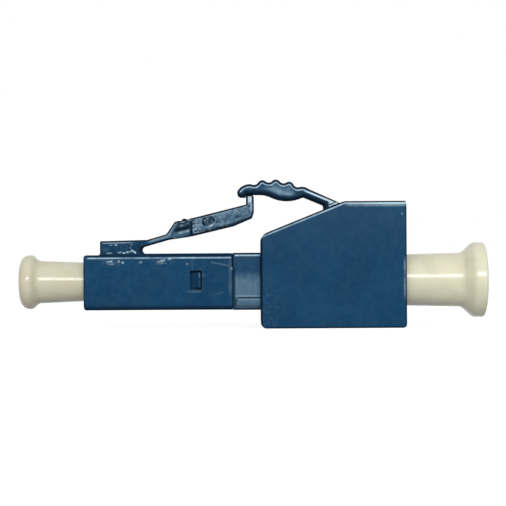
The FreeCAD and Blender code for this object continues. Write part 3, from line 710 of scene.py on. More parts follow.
def latchPaint(start, spot, axes):
    look = latchLook
    x, y, z = axes
    near, up = rimOf(start)
    side = abs(y).ease(*look["side"])
    turned = start.node("ShaderNodeVectorRotate", {"rotation_type": "Y_AXIS"},
                        {"Vector": spot, "Angle": math.radians(look["grainTurn"])})
    mottle = cloud(start, turned, *look["mottle"])
    blots = cloud(start, spot, *look["blots"])
    specks = cloud(start, turned, *look["specks"])
    patches = noise(start, turned, *look["patches"])
    bar, root, strip = x.ease(*look["bar"]), x.fade(*look["root"]), x.within(*look["strip"])
    below = barTop(x) - z
    ring, crescent, inner = roundMark(start, spot, axes)

    grain = bar * near.ease(*look["barInside"]) * (0.25 + 0.45 * mottle + 0.3 * blots)
    grain = grain + 0.55 * root * cloud(start, spot, *look["rootGrain"])
    grain = grain + strip * near.ease(*look["stripInside"]) * (0.35 + 0.65 * x.fade(*look["stripFade"]))

    pale = bar * near.ease(*look["paleInside"]) * patches.ease(*look["palePatches"])
    pale = pale * (0.14 + 0.2 * x.fade(*look["paleFade"]))
    rear = x.ease(*look["speckRear"]) * below.within(*look["speckBelow"])
    bright = x.fade(*look["speckFront"]).most(0.9 * rear).most(0.42) + 0.35 * x.fade(*look["speckCatch"])
    calm = 1 - 0.75 * x.within(*look["calm"]) * below.within(*look["calmBelow"])
    pale = pale.most(0.62 * bar * near.ease(*look["stripInside"]) * specks * bright * calm)
    pale = pale * (1 - ring) * (1 - inner)
    crumbs = 0.35 + 0.65 * cloud(start, spot, *markLook["crumbs"])
    flecks = seenSide(axes) * crumbs * strokes(start, spot, axes, look["flecks"], look["ragged"])
    # painted highlights: the streak on the tab, the sheen inside the strip's rim, the pale edge along
    # upward rims and the mark's crescent
    streak = x.within(*look["tabStreak"]) * z.ease(*look["tabStreakLow"]) * z.fade(*look["tabStreakHigh"])
    streak = streak.most(0.45 * x.within(*look["tabEdge"]) * z.within(*look["tabEdgeHeight"]))
    sheen = 0.24 * strip * near.within(*look["sheen"]) * up.ease(*look["sheenUp"])
    edge = near.within(*look["edge"]) * up.ease(*look["edgeUp"])
    edge = edge * (bar * (0.1 + 0.35 * mottle) + 0.4 * x.fade(*look["rootEdge"]))
    worn = flecks.most(0.95 * streak).most(edge).most(sheen).most(0.65 * crescent).most(pale)

    # painted shade: dark outline along the rim, under the bar's downward rims, in the slot under the strip
    # and in the mark's ring, with the darker patches of the bar's grain
    under = near.fade(*look["underRim"]) * up.fade(*look["facingDown"]) * x.ease(*look["underBar"])
    slot = x.within(*look["slotDark"]) * z.fade(*look["slotLow"]) * (0.7 + 0.3 * mottle)
    dark = near.fade(*look["rim"]).most(0.85 * under).most(0.8 * slot)
    dark = dark.most(0.7 * bar * patches.fade(*look["darkPatches"]) * near.ease(*look["patchInside"]))
    dark = dark.most(0.5 * root * blots * z.fade(*look["rootLow"]))
    dark = dark.most(0.6 * x.within(*look["tabDark"]) * z.within(*look["tabDarkHeight"]))
    dark = dark.most(ring).most(0.85 * inner)
    return {"grain": side * grain, "shade": side * dark, "worn": side * worn, "dull": 1 - side}


# Catch lugs on both sides of the latch; levels are heights with the bar's rise taken out

lugLook = {
    "inner": 1.0,                # from inside the lever
    "outer": 1.75,
    "recess": 0.18,
    "bevel": 0.09,
    "corner": 0.3,
    "mottle": (2.6, 6, 0.75, 0.4, 0.62),
    "wobble": (3.6, 5, 0.7),
    "ragged": 0.5,
    "side": (1.5, 1.56),
    # hollow, catch, baseLevel and topLevel carry painted shade
    "hollow": (7.3, 8.56, 0.1),
    "hollowLevel": (4.26, 4.6, 0.08),
    "above": (7.3, 7.5),
    "aboveLevel": (4.5, 4.6),
    "aboveCrumbs": (3.0, 5, 0.7, 0.44, 0.56),
    "ramp": (7.3, 7.6),
    "streak": (7.62, 8.42, 0.15),
    "streakLevel": (4.04, 4.2, 0.07),
    "crestLevel": (4.86, 5.0, 0.05),
    "crestCrumbs": (5.0, 4, 0.7, 0.5, 0.6),
    "catch": (8.46, 8.56),
    "baseLevel": (3.68, 3.84),
    "topLevel": (4.94, 5.0),
    "spot": ((7.65, 3.75), (7.85, 3.75), 0.08),      # dark, below the pale streak
    "fleckRagged": 0.3,
    "flecks": [((7.8, 4.5), (7.9, 4.5), 0.1, 0.5), ((8.0, 4.75), (8.1, 4.75), 0.08, 0.45),
               ((8.3, 4.7), (8.4, 4.65), 0.1, 0.25), ((7.35, 4.5), (7.4, 4.6), 0.07, 0.3)],
}


def lugPaint(start, spot, axes):                    # painted shade in the hollow and on the catch face, over a pale streak
    look = lugLook
    x, y, z = axes
    side = abs(y).ease(*look["side"])
    mottle = cloud(start, spot, *look["mottle"])
    ragged = look["ragged"] * wobble(start, spot, *look["wobble"])
    level = z - latchLook["barRise"] * (x - latchLook["barStart"][0])
    hollow = (x + ragged).within(*look["hollow"]) * (level + 0.6 * ragged).within(*look["hollowLevel"])
    above = (x + ragged).ease(*look["above"]) * level.ease(*look["aboveLevel"])
    flecks = seenSide(axes) * strokes(start, spot, axes, look["flecks"], look["fleckRagged"])
    pale = x.within(*look["streak"]) * level.within(*look["streakLevel"]) * (0.2 + 0.35 * mottle)
    crest = level.within(*look["crestLevel"]) * cloud(start, spot, *look["crestCrumbs"])
    # painted shade in the hollow, on the catch face and along the lug's top and base
    dark = (0.97 * hollow).most(0.95 * x.ease(*look["catch"])).most(level.fade(*look["baseLevel"]))
    dark = dark.most(above * (0.3 + 0.4 * cloud(start, spot, *look["aboveCrumbs"])))
    dark = dark.most(0.95 * level.ease(*look["topLevel"])).most(0.6 * stroke(axes, *look["spot"]))
    grain = 0.2 + 0.4 * mottle + 0.15 * x.fade(*look["ramp"])
    return {"grain": side * grain, "shade": side * dark,
            "worn": side * pale.most(0.35 * crest).most(flecks), "dull": 1 - side}


def makeLug(name, side, material):
    loops = outlines("latch_lever", depth=side * (lugLook["outer"] - lugLook["recess"] / 2))
    loops.sort(key=lambda loop: max(spot.x for spot in loop) - min(spot.x for spot in loop))
    hollow, rim = loops
    half = (lugLook["outer"] - lugLook["inner"]) / 2
    middle = (lugLook["outer"] + lugLook["inner"]) / 2
    mesh = slab(bumpyTop(rim), half, lugLook["bevel"], lugLook["corner"], hollow, lugLook["recess"])[0]
    bmesh.ops.translate(mesh, vec=(0, middle, 0), verts=mesh.verts)
    bmesh.ops.scale(mesh, vec=(1, side, 1), verts=mesh.verts)
    piece = newObject(name, mesh, material)
    settle(piece)
    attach(piece, "latch")
    shown(piece, "blue_plastic", "latch_lever")


def makeLatch():
    look = latchLook
    pivot = pivotOf("latch_flex")
    turn = math.radians(look["stripAngle"])
    along = Vector((math.cos(turn), 0, math.sin(turn)))
    housing = max(outlines("front_housing"), key=lambda loop: max(spot.z for spot in loop))
    top, end = plugLook["top"], pivot.x + look["rootReach"]
    root = runOf(housing, lambda spot: spot.z > top - meshing["level"] and spot.x < end)
    slot = look["slotEnd"]
    for spot in root:
        if spot.x > slot["start"] and spot.z < slot["top"] and (spot - pivot).length > look["rootClear"]:
            spot.x -= slot["deeper"]
            spot.z = top + (spot.z - top) * slot["squash"]
    for spot in (root[0], root[-1]):
        spot.z = top - look["sink"]
    lever = bumpyTop(outlines("latch_lever")[0])
    outline = fused(root, lever, pivot, look["rootClear"], look["leverClear"])
    body = leverBody(outline, look, pivot, along)
    piece = settle(newObject("latch", body, bluePlastic("latchBlue", latchPaint)))
    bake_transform(piece)
    shown(piece, "blue_plastic", "latch_lever")
    lugBlue = bluePlastic("lugBlue", lugPaint)
    makeLug("nearLug", -1, lugBlue)
    makeLug("farLug", 1, lugBlue)


# Trigger: ridged grip on a bending arm, one moulding with its foot

triggerLook = {
    "armAngle": 22.8,
    "bendStart": -0.3,
    "bendEnd": 0.9,
    "steps": 12,
    "footClear": 0.3715,
    "leverClear": 0.3415,
    "footReach": 0.5,            # past the bending line
    "halfWidth": 1.7,
    "bevel": 0.1,
    "corner": 0.08,
    "grid": 0.07,
    "lip": {"edge": 12.905, "top": 7.0, "nearer": 0.08},     # of the nose, nearer to the tab
    "slopeFoot": Vector((14.14, 0, 3.67)),
    "slopeAngle": 21.8,
    "sink": 0.1,
    "mottle": (2.6, 6, 0.7, 0.38, 0.64),
    # Zones along x and z
    "side": (1.55, 1.64),
    "arm": (17.5, 18.0),
    "armEnd": (19.3, 19.5),
    "belly": (14.7, 17.2, 0.5),
    "bellyLean": 1.2,
    "bellyEnd": (25.6, 26.4),
    "sheenFrom": (14.31, 7.574),
    "sheenFall": 0.339,
    "sheenWidth": (0.08, 0.3),
    # noseDark, kneeDark, footDark and crease carry painted shade; wedge, stripe and band carry painted
    # highlights
    "noseDark": (12.9, 14.1, 0.3),
    "noseLow": (7.15, 7.4),
    "kneeDark": (16.9, 17.6, 0.15),
    "footDark": (19.1, 19.55, 0.06),
    "crease": (19.6, 20.35, 0.05),
    "wedge": (19.64, 20.25, 0.05),
    "stripe": (19.64, 20.4, 0.06),
    "bandEnd": (20.1, 20.4),
    # Heights over the block's slope
    "footHeight": (0.0, 0.6, 0.1),
    "creaseHeight": (0.16, 0.235, 0.02),
    "wedgeHeight": (0.22, 0.26),
    "stripeHeight": (0.06, 0.13, 0.02),
    # Heights over the arm's middle
    "armLow": (-0.06, 0.0),
    "band": (0.02, 0.16, 0.03),
    "wedgeTop": (0.13, 0.19),
    # Distances from the rim, and how far it faces up
    # rim and underRim carry painted shade; bellyInside a painted sheen; line painted highlights along the
    # ridges
    "rim": (0.1, 0.18),
    "underRim": (0.16, 0.4),
    "facingDown": (-0.5, 0.0),
    "gripInside": (0.2, 0.4),
    "bellyInside": (0.26, 0.55),
    "kneeInside": (0.3, 0.4),
    "line": (0.2, 0.27, 0.04),
    "lineUp": (0.1, 0.55),
}


def slopeUp():
    slope = math.radians(triggerLook["slopeAngle"])
    return Vector((-math.sin(slope), 0, math.cos(slope)))


def aboveSlope(x, z):                               # height over the block's slope
    upright, foot = slopeUp(), triggerLook["slopeFoot"]
    return (x - foot.x) * upright.x + (z - foot.z) * upright.z


def triggerPaint(start, spot, axes):
    look = triggerLook
    x, y, z = axes
    near, up = rimOf(start)
    side = abs(y).ease(*look["side"])
    mottle = cloud(start, spot, *look["mottle"])
    height = aboveSlope(x, z)
    arm = x.ease(*look["arm"])
    pivot, tilt = pivotOf("trigger_press"), math.radians(look["armAngle"])
    over = (x - pivot.x) * math.sin(tilt) + (z - pivot.z) * math.cos(tilt)
    # the lighter belly is a painted sheen
    belly = near.ease(*look["bellyInside"]) * x.within(*look["belly"])
    belly = belly * (x + look["bellyLean"] * z).fade(*look["bellyEnd"])
    grain = belly * (0.75 + 0.5 * mottle) + near.ease(*look["gripInside"]) * (1 - arm) * 0.3 * mottle

    # painted shade: dark outline, under downward rims, under the nose, at the knee, at the foot, along the
    # arm's underside and in the crease
    dark = near.fade(*look["rim"]).most(0.9 * near.fade(*look["underRim"]) * up.fade(*look["facingDown"]))
    dark = dark.most(0.7 * x.within(*look["noseDark"]) * z.fade(*look["noseLow"]))
    dark = dark.most(0.8 * x.within(*look["kneeDark"]) * near.ease(*look["kneeInside"]))
    dark = dark.most(0.8 * x.within(*look["footDark"]) * height.within(*look["footHeight"]))
    dark = dark.most(0.75 * arm * over.fade(*look["armLow"]) * x.fade(*look["armEnd"]))
    crease = x.within(*look["crease"]) * height.within(*look["creaseHeight"])

    # painted highlights: sheen across the belly, lines along the ridges, a band along the arm and a wedge
    # and a stripe at the foot
    slant = abs(z - look["sheenFrom"][1] + look["sheenFall"] * (x - look["sheenFrom"][0]))
    sheen = belly * (0.02 + 0.2 * slant.fade(*look["sheenWidth"])) * (0.6 + 0.6 * mottle)
    line = near.within(*look["line"]) * up.ease(*look["lineUp"]) * (0.6 + 0.4 * mottle)
    band = arm * over.within(*look["band"]) * x.fade(*look["bandEnd"])
    wedge = x.within(*look["wedge"]) * height.ease(*look["wedgeHeight"]) * over.fade(*look["wedgeTop"])
    stripe = x.within(*look["stripe"]) * height.within(*look["stripeHeight"])
    worn = line.most(0.95 * band).most(stripe).most(0.85 * wedge).most(sheen) * (1 - crease)
    return {"grain": side * grain, "shade": side * dark.most(crease), "worn": side * worn, "dull": 1 - side}


def makeTrigger():
    look = triggerLook
    pivot = pivotOf("trigger_press")
    turn = math.radians(look["armAngle"])
    along = Vector((-math.cos(turn), 0, math.sin(turn)))
    housing = max(outlines("rear_housing"), key=lambda loop: max(spot.z for spot in loop))
    start = pivot.x - look["footReach"]
    foot = runOf(housing, lambda spot: aboveSlope(spot.x, spot.z) > -meshing["level"] and spot.x > start)
    for spot in foot:
        if aboveSlope(spot.x, spot.z) < meshing["touch"]:
            spot -= slopeUp() * look["sink"]
    lever = outlines("trigger_lever")[0]
    lip = look["lip"]
    for spot in lever:
        if abs(spot.x - lip["edge"]) < meshing["touch"] and spot.z < lip["top"]:
            spot.x += lip["nearer"]
    outline = fused(foot, lever, pivot, look["footClear"], look["leverClear"])
    body = leverBody(outline, look, pivot, along)
    piece = settle(newObject("trigger", body, bluePlastic("triggerBlue", triggerPaint)))
    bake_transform(piece)
    shown(piece, "blue_plastic", "trigger_lever")


# Plug

plugLook = {
    "bevel": 0.22,
    "rearShare": 0.15,           # of the bevel, so that the seam stays closed
    "sideShare": 0.55,
    "notchShare": 0.7,           # at the top of the seam
    "edgeReach": 0.1,
    "rear": 11.9,
    "top": 2.26,
    "window": {"left": 8.52, "right": 9.45, "half": 0.705, "lift": 0.13, "reach": 1.0},
    "mottle": (1.6, 5, 0.7, 0.36, 0.66),
    "side": (1.9, 2.05),
    "line": (1.85, 1.95, 0.04),  # painted highlight along the top edge
    "lineStart": (0.2, 0.5),
    "lineFront": (2.7, 3.3),
    "lineRear": (6.0, 8.0),
    "lineEnd": (11.74, 11.82),
    "rearBand": (11.6, 11.84, 0.08),
    "rearHeight": (-0.9, 1.7, 0.5),
    "chip": ((11.84, 1.1), (11.85, 0.95), 0.1),
    "dustFront": ((1.7, 2.9, 0.3), (1.3, 1.75, 0.12)),
    "dustRear": ((5.6, 7.2, 0.4), (1.4, 1.8, 0.1)),
    "dustClouds": (3.4, 3, 0.55, 0.4, 0.75),
    # painted shade along the top, the base, the front edge, the seam and the window's border
    "topDark": (1.98, 2.04),
    "baseDark": (-2.2, -2.04),
    "baseShade": (-2.26, -1.6),
    "baseDull": (-2.2, -2.05),
    "frontDark": (0.04, 0.16),
    "seam": (11.79, 11.86),
    "seamHeight": (1.1, 1.5),    # the seam lies further back below this
    "windowSoft": 0.03,
    "windowLine": (-0.02, 0.06, 0.04),
    "ragged": {"flecks": 0.22, "cores": 0.06, "scratches": 0.1},
    "cores": [((2.2, 1.65), (2.3, 1.65), 0.08, 1.0), ((2.8, 1.7), (2.85, 1.65), 0.07, 0.9),
              ((3.15, 1.55), (3.2, 1.55), 0.08, 0.75), ((4.55, 1.6), (4.7, 1.6), 0.08, 0.3),
              ((6.2, 1.7), (6.25, 1.7), 0.09, 1.0), ((6.8, 1.85), (7.0, 1.85), 0.08, 0.9)],
    "flecks": [((1.85, 1.6), (2.35, 1.65), 0.09, 0.6), ((2.05, 1.4), (2.45, 1.45), 0.08, 0.3),
               ((2.8, 1.7), (2.9, 1.6), 0.08, 0.8), ((3.1, 1.55), (3.25, 1.55), 0.1, 0.8),
               ((4.5, 1.55), (4.7, 1.55), 0.08, 0.35), ((5.9, 1.6), (6.2, 1.65), 0.07, 0.45),
               ((6.2, 1.65), (6.35, 1.65), 0.1, 1.0), ((6.35, 1.7), (6.55, 1.75), 0.08, 0.7),
               ((5.95, 1.45), (6.65, 1.5), 0.06, 0.2), ((8.15, 1.45), (8.4, 1.4), 0.08, 0.3)],
    "scratches": [((10.2, 1.55), (11.65, 1.25), 0.08, 0.11), ((8.7, 1.85), (8.7, 0.95), 0.06, 0.05),
                  ((8.6, -0.8), (9.4, -0.8), 0.09, 0.09), ((8.35, -0.75), (8.5, -0.8), 0.12, 0.1),
                  ((9.55, 0.6), (9.6, 0.4), 0.07, 0.12), ((10.5, -1.0), (11.2, -0.85), 0.08, 0.04)],
}


def plugPaint(start, spot, axes):
    look, window = plugLook, plugLook["window"]
    x, y, z = axes
    side = abs(y).ease(*look["side"])
    mottle = cloud(start, spot, *look["mottle"])
    crumbs = 0.4 + 0.6 * cloud(start, spot, *markLook["crumbs"])
    flecks, cores, scratches = [strokes(start, spot, axes, look[kind], look["ragged"][kind])
                                for kind in ("flecks", "cores", "scratches")]
    # painted highlight along the top edge, brighter towards both ends
    line = z.within(*look["line"]) * x.ease(*look["lineStart"]) * x.fade(*look["lineEnd"])
    worn = 0.25 * x.fade(*look["lineFront"]) + 0.25 * x.ease(*look["lineRear"])
    line = line * (0.24 + 0.26 * mottle + worn)
    rear = x.within(*look["rearBand"]) * z.within(*look["rearHeight"]) * (0.3 + 0.7 * crumbs)
    front, behind = [x.within(*along) * z.within(*height)
                     for along, height in (look["dustFront"], look["dustRear"])]
    dust = front.most(behind) * cloud(start, spot, *look["dustClouds"])
    scuffs = (crumbs * flecks).most(cores).most(0.12 * dust).most(scratches)
    scuffs = scuffs.most(0.07 * rear).most(0.4 * stroke(axes, *look["chip"]))

    # painted shade: dark top chamfer, darker towards the base, dark front edge, the seam and the window's
    # border
    dark = (0.75 * z.ease(*look["topDark"])).most(0.9 * z.fade(*look["baseDark"]))
    dark = dark.most(0.55 * z.fade(*look["baseShade"])).most(0.85 * x.fade(*look["frontDark"]))
    dark = dark.most(0.9 * x.ease(*look["seam"]) * z.ease(*look["seamHeight"]))
    beyond = abs(z - window["lift"]) - window["half"]
    border = x.within(window["left"], window["right"], look["windowSoft"])
    border = border * beyond.within(*look["windowLine"])
    return {"grain": side * 0.09 * mottle, "shade": side * dark.most(0.9 * border),
            "worn": side * line.most(seenSide(axes) * scuffs), "dull": z.fade(*look["baseDull"])}


def makePlug():
    look, window, reach = plugLook, plugLook["window"], plugLook["edgeReach"]
    mesh = levelled("front_housing", Vector((0, 0, look["top"])), Vector((0, 0, 1)))

    def share(spot):
        if spot.x < reach:
            return 1
        atRear = spot.x > look["rear"] - reach
        if atRear and spot.z > look["top"] - reach:
            return look["notchShare"]
        beside = window["left"] - reach < spot.x < window["right"] + reach
        return look["rearShare" if atRear or beside and abs(spot.z) < window["reach"] else "sideShare"]

    piece = makePiece("plug", mesh, bluePlastic("plugBlue", plugPaint), look["bevel"], share)
    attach(piece, "housing")
    shown(piece, "blue_plastic", "front_housing")


# Block: distances are measured in from its edges

blockLook = {
    "bevel": 0.2,
    "innerShare": 0.35,          # of the bevel, away from the sides
    "sideReach": 0.1,
    "halfWidth": 3.1,
    "front": 14.14,
    "rear": 25.74,
    "top": 6.33,
    "base": -3.75,
    "mottle": (1.5, 5, 0.7, 0.36, 0.66),
    "speckle": (3.2, 5, 0.72, 0.5, 0.66),
    "side": (2.8, 2.92),
    "paler": (1.0, 6.0),
    "flat": (20.6, 21.2),
    "flatRight": (21.6, 24.4),
    "slopeHigh": (18.2, 19.6),
    # slopeLine to streakHeight: painted highlights along the slope and the top and at the rear edge
    "slopeLine": (0.13, 0.23, 0.035),
    "flatLine": (0.13, 0.25, 0.035),
    "flatGlow": (0.12, 0.42, 0.08),
    "rearStreak": (0.1, 0.26, 0.06),
    "streakHeight": (-1.3, 1.7, 0.5),
    "dot": (25.38, 5.3),
    "dotSize": (0.002, 0.012),   # squared
    # painted shade along the edges
    "edgeDark": (0.06, 0.12),
    "frontDark": (0.1, 0.22),
    "baseDark": (0.04, 0.16),
    "rearDark": (0.03, 0.12),
    "corner": (0.3, 2.2),        # speckled, at the front's foot
    "cornerHeight": (-2.0, 1.5),
}


def blockPaint(start, spot, axes):
    look = blockLook
    x, y, z = axes
    side = abs(y).ease(*look["side"])
    mottle = cloud(start, spot, *look["mottle"])
    edge = (0 - aboveSlope(x, z)).least(look["top"] - z)
    front, rear, low = x - look["front"], look["rear"] - x, z - look["base"]
    flat, right = x.ease(*look["flat"]), x.ease(*look["flatRight"])
    # painted highlights along the slope and the top, and a painted highlight streak at the rear edge
    bright = 0.3 + 0.3 * mottle + 0.2 * x.ease(*look["slopeHigh"]) + 0.3 * right
    line = edge.within(*look["slopeLine"]) * bright
    line = line.most(flat * edge.within(*look["flatLine"]) * (0.7 + 0.3 * right))
    line = line.most(flat * edge.within(*look["flatGlow"]) * (0.1 + 0.12 * mottle + 0.16 * right))
    streak = rear.within(*look["rearStreak"]) * z.within(*look["streakHeight"]) * (0.08 + 0.16 * mottle)
    across, rise = x - look["dot"][0], z - look["dot"][1]
    dot = (across * across + rise * rise).fade(*look["dotSize"])
    # painted shade along the edges
    dark = edge.fade(*look["edgeDark"]).most(front.fade(*look["frontDark"]))
    dark = dark.most(low.fade(*look["baseDark"])).most(rear.fade(*look["rearDark"]))
    corner = seenSide(axes) * front.fade(*look["corner"]) * z.fade(*look["cornerHeight"])
    corner = corner * cloud(start, spot, *look["speckle"])
    # grain, a little lighter towards the top, and speckles at the front's foot
    grain = 0.02 + 0.06 * mottle + 0.06 * z.ease(*look["paler"]) + 0.3 * corner
    return {"grain": side * grain, "shade": side * 0.95 * dark,
            "worn": side * line.most(seenSide(axes) * streak.most(0.2 * dot))}


def makeBlock():
    look = blockLook
    mesh = levelled("rear_housing", triggerLook["slopeFoot"], slopeUp())
    outer = look["halfWidth"] - look["sideReach"]
    piece = makePiece("block", mesh, bluePlastic("blockBlue", blockPaint), look["bevel"],
                      lambda spot: 1 if abs(spot.y) > outer else look["innerShare"])
    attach(piece, "housing")
    shown(piece, "blue_plastic", "rear_housing")


# Neck, with a raised pad at its foot, and the snap tooth in the plug's window

neckLook = {
    "bevel": 0.07,
    "seamShare": 0.3,            # of the bevel
    "seamReach": 0.1,
    "start": 11.93,
    "padStart": 12.18,
    "padTop": -1.3,
    "mottle": (3.0, 6, 0.75, 0.36, 0.66),
    "side": (2.0, 2.1),
    "inside": (1.95, 2.15),      # the tooth, behind the side
    "grainTop": (-0.2, 0.95),
    # line carries a painted highlight along the top; topDark, baseDark and seam carry painted shade
    "line": (2.02, 2.12, 0.04),
    "lineStart": (0.12, 0.22),
    "topDark": (2.16, 2.21),
    "baseDark": (-2.2, -1.98),
    "seam": (0.14, 0.24),
    "seamHeight": (0.9, 1.4),
    "seamShift": 0.1,
    # around the pad: painted highlights above and below its rim, painted shade on its rim, under it and at
    # its foot
    # Along x from the pad's start
    "aboveStart": (-0.1, 0.1),
    "belowStart": (0.1, 0.3),
    "rimStart": (0.02, 0.12),
    "rimFront": (-0.06, 0.05, 0.04),
    "padFront": (-0.08, 0.02),
    "padShade": (0.0, 0.1),
    "padLow": (-2.05, -1.5),
    # Up from the pad's top
    "padFade": (-0.1, 0.1),
    "abovePad": (0.08, 0.18, 0.04),
    "belowRim": (-0.2, -0.11, 0.05),
    "rim": (-0.04, 0.06, 0.03),
    "rimSide": (-0.7, -0.04, 0.06),
    "underPad": (-0.12, 0.06),
    # On the tooth, from the window's right end: a painted glint
    "glint": (-0.24, -0.14, 0.04),
    "glintLean": 1.6,
    "glintHeight": (0.05, 0.35, 0.1),
}


def neckPaint(start, spot, axes):
    look = neckLook
    x, y, z = axes
    side, inside = abs(y).ease(*look["side"]), abs(y).fade(*look["inside"])
    mottle = cloud(start, spot, *look["mottle"])
    pad, level = x - look["padStart"], z - look["padTop"]
    # grain, with a painted sheen that makes the lower part lighter
    grain = z.fade(*look["grainTop"]) * (0.68 + 0.55 * mottle) + 0.06 + 0.1 * mottle
    grain = grain * (1 - 0.12 * level.fade(*look["padFade"]))
    # painted highlights along the top edge and above and below the pad's rim
    line = z.within(*look["line"]) * (0.6 + 0.35 * mottle) * (x - look["start"]).ease(*look["lineStart"])
    above = pad.ease(*look["aboveStart"]) * level.within(*look["abovePad"])
    below = pad.ease(*look["belowStart"]) * level.within(*look["belowRim"])
    rim = pad.ease(*look["rimStart"]) * level.within(*look["rim"])
    rim = rim.most(pad.within(*look["rimFront"]) * level.within(*look["rimSide"]))
    seam = x - look["start"] + look["seamShift"] * z.ease(*look["seamHeight"])
    # painted shade: dark top and base edges, the seam, under the pad's top and at its foot, on its rim and
    # inside the window
    dark = z.ease(*look["topDark"]).most(0.9 * z.fade(*look["baseDark"]))
    dark = dark.most(0.85 * seam.fade(*look["seam"]))
    dark = dark.most(0.6 * level.fade(*look["underPad"]) * pad.fade(*look["padFront"]))
    dark = dark.most(0.4 * pad.ease(*look["padShade"]) * z.fade(*look["padLow"])).most(0.9 * rim)
    # painted glint on the tooth in the window
    left = x - plugLook["window"]["right"]
    glint = left.within(*look["glint"]) * (z + look["glintLean"] * left).within(*look["glintHeight"])
    worn = side * line.most(0.22 * above).most(0.14 * below)
    return {"grain": side * grain, "shade": (side * dark).most(0.35 * inside),
            "worn": worn.most(seenSide(axes) * inside * 0.5 * glint)}


def makeNeck():
    look = neckLook

    def share(spot):
        return look["seamShare"] if abs(spot.x - look["start"]) < look["seamReach"] else 1

    mesh = cadCopy("inner_body")
    piece = makePiece("neck", mesh, bluePlastic("neckBlue", neckPaint), look["bevel"], share)
    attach(piece, "housing")
    shown(piece, "blue_plastic", "inner_body")


# Node trees: sizes and a finish go in, a plain mesh along the light path comes out

def newTree(name, sizes):
    tree = bpy.data.node_groups.new(name, "GeometryNodeTree")
    addSocket = tree.interface.new_socket
    addSocket("Geometry", in_out="INPUT", socket_type="NodeSocketGeometry")
    for label, value in sizes.items():
        kind = "NodeSocketInt" if isinstance(value, int) else "NodeSocketFloat"
        addSocket(label, in_out="INPUT", socket_type=kind).default_value = value
    addSocket("Finish", in_out="INPUT", socket_type="NodeSocketMaterial")
    addSocket("Geometry", in_out="OUTPUT", socket_type="NodeSocketGeometry")
    return tree, tree.nodes.new("NodeGroupInput")


def linkNodes(tree, *links):
    for source, output, target, entry in links:
        tree.links.new(source.outputs[output], target.inputs[entry])


def finishTree(tree, given, swept):                 # turns what was swept onto the light path
    add = tree.nodes.new
    turned = add("GeometryNodeTransform")
    turned.inputs["Rotation"].default_value = (0, math.radians(90), 0)
    plain = add("GeometryNodeRealizeInstances")
    finish = add("GeometryNodeSetMaterial")
    result = add("NodeGroupOutput")
    linkNodes(tree,
              (swept, "Mesh", turned, "Geometry"),
              (turned, "Geometry", plain, "Geometry"),
              (plain, "Geometry", finish, "Geometry"),
              (given, "Finish", finish, "Material"),
              (finish, "Geometry", result, "Geometry"))
    return turned


def runTree(piece, group, values):                  # a node tree with its inputs set, made a plain mesh
    maker = piece.modifiers.new("maker", "NODES")
    maker.node_group = group
    sockets = {item.name: item.identifier for item in group.interface.items_tree if item.in_out == "INPUT"}
    for label, value in values.items():
        maker[sockets[label]] = value
    bakeModifiers(piece)
    mesh = bmesh.new()
    mesh.from_mesh(piece.data)
    weld(mesh)
    bmesh.ops.recalc_face_normals(mesh, faces=mesh.faces[:])
    mesh.to_mesh(piece.data)
    mesh.free()


# Turned pieces: one tree spins a profile about the light path

latheLook = {
    "axisRadius": 1.0,
    "sides": 96,
    "roundingSteps": 5,
    "smoothAngle": 30,
    "rounding": {"frontCap": 0.55, "rearCap": 0.65, "ferruleRod": 0.04},
}


def latheTree():
    look = latheLook
    tree, given = newTree("lathe", {"Axis Radius": look["axisRadius"], "Rounding": 0.0,
                                    "Rounding Steps": look["roundingSteps"], "Sides": look["sides"]})
    add = tree.nodes.new
    profile = add("GeometryNodeMeshToCurve")
    rounded = add("GeometryNodeFilletCurve")
    rounded.mode = "POLY"
    rounded.inputs["Limit Radius"].default_value = True
    circle = add("GeometryNodeCurvePrimitiveCircle")
    swept = add("GeometryNodeCurveToMesh")
    linkNodes(tree,
              (given, "Geometry", profile, "Mesh"),
              (profile, "Curve", rounded, "Curve"),
              (given, "Rounding", rounded, "Radius"),
              (given, "Rounding Steps", rounded, "Count"),
              (given, "Axis Radius", circle, "Radius"),
              (given, "Sides", circle, "Resolution"),
              (circle, "Curve", swept, "Curve"),
              (rounded, "Curve", swept, "Profile Curve"))
    finishTree(tree, given, swept)
    return tree


latheGroup = latheTree()


def lathe(name, node, material, body, slotName):
    reach = latheLook["axisRadius"]
    spots = outlines(node, True)[0]
    data = bpy.data.meshes.new(name)
    pairs = [(index, index + 1) for index in range(len(spots) - 1)]
    if min(spot.z for spot in spots) > meshing["touch"]:
        pairs.append((len(spots) - 1, 0))
    data.from_pydata([(spot.z - reach, -spot.x, 0) for spot in spots], pairs, [])
    piece = bpy.data.objects.new(name, data)
    bpy.context.scene.collection.objects.link(piece)
    runTree(piece, latheGroup, {"Rounding": latheLook["rounding"][name], "Finish": material})
    settle(piece, latheLook["smoothAngle"])
    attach(piece, body)
    shown(piece, slotName, node)


# Spring: one tree winds the wire

springLook = {
    "diameter": 2.6,
    "wire": 0.25,
    "wireSides": 12,
    "turns": 5.0,
    "turnSteps": 40,
    "clear": 0.02,               # at each end
    "start": 6.42,
    "end": 10.57,
}


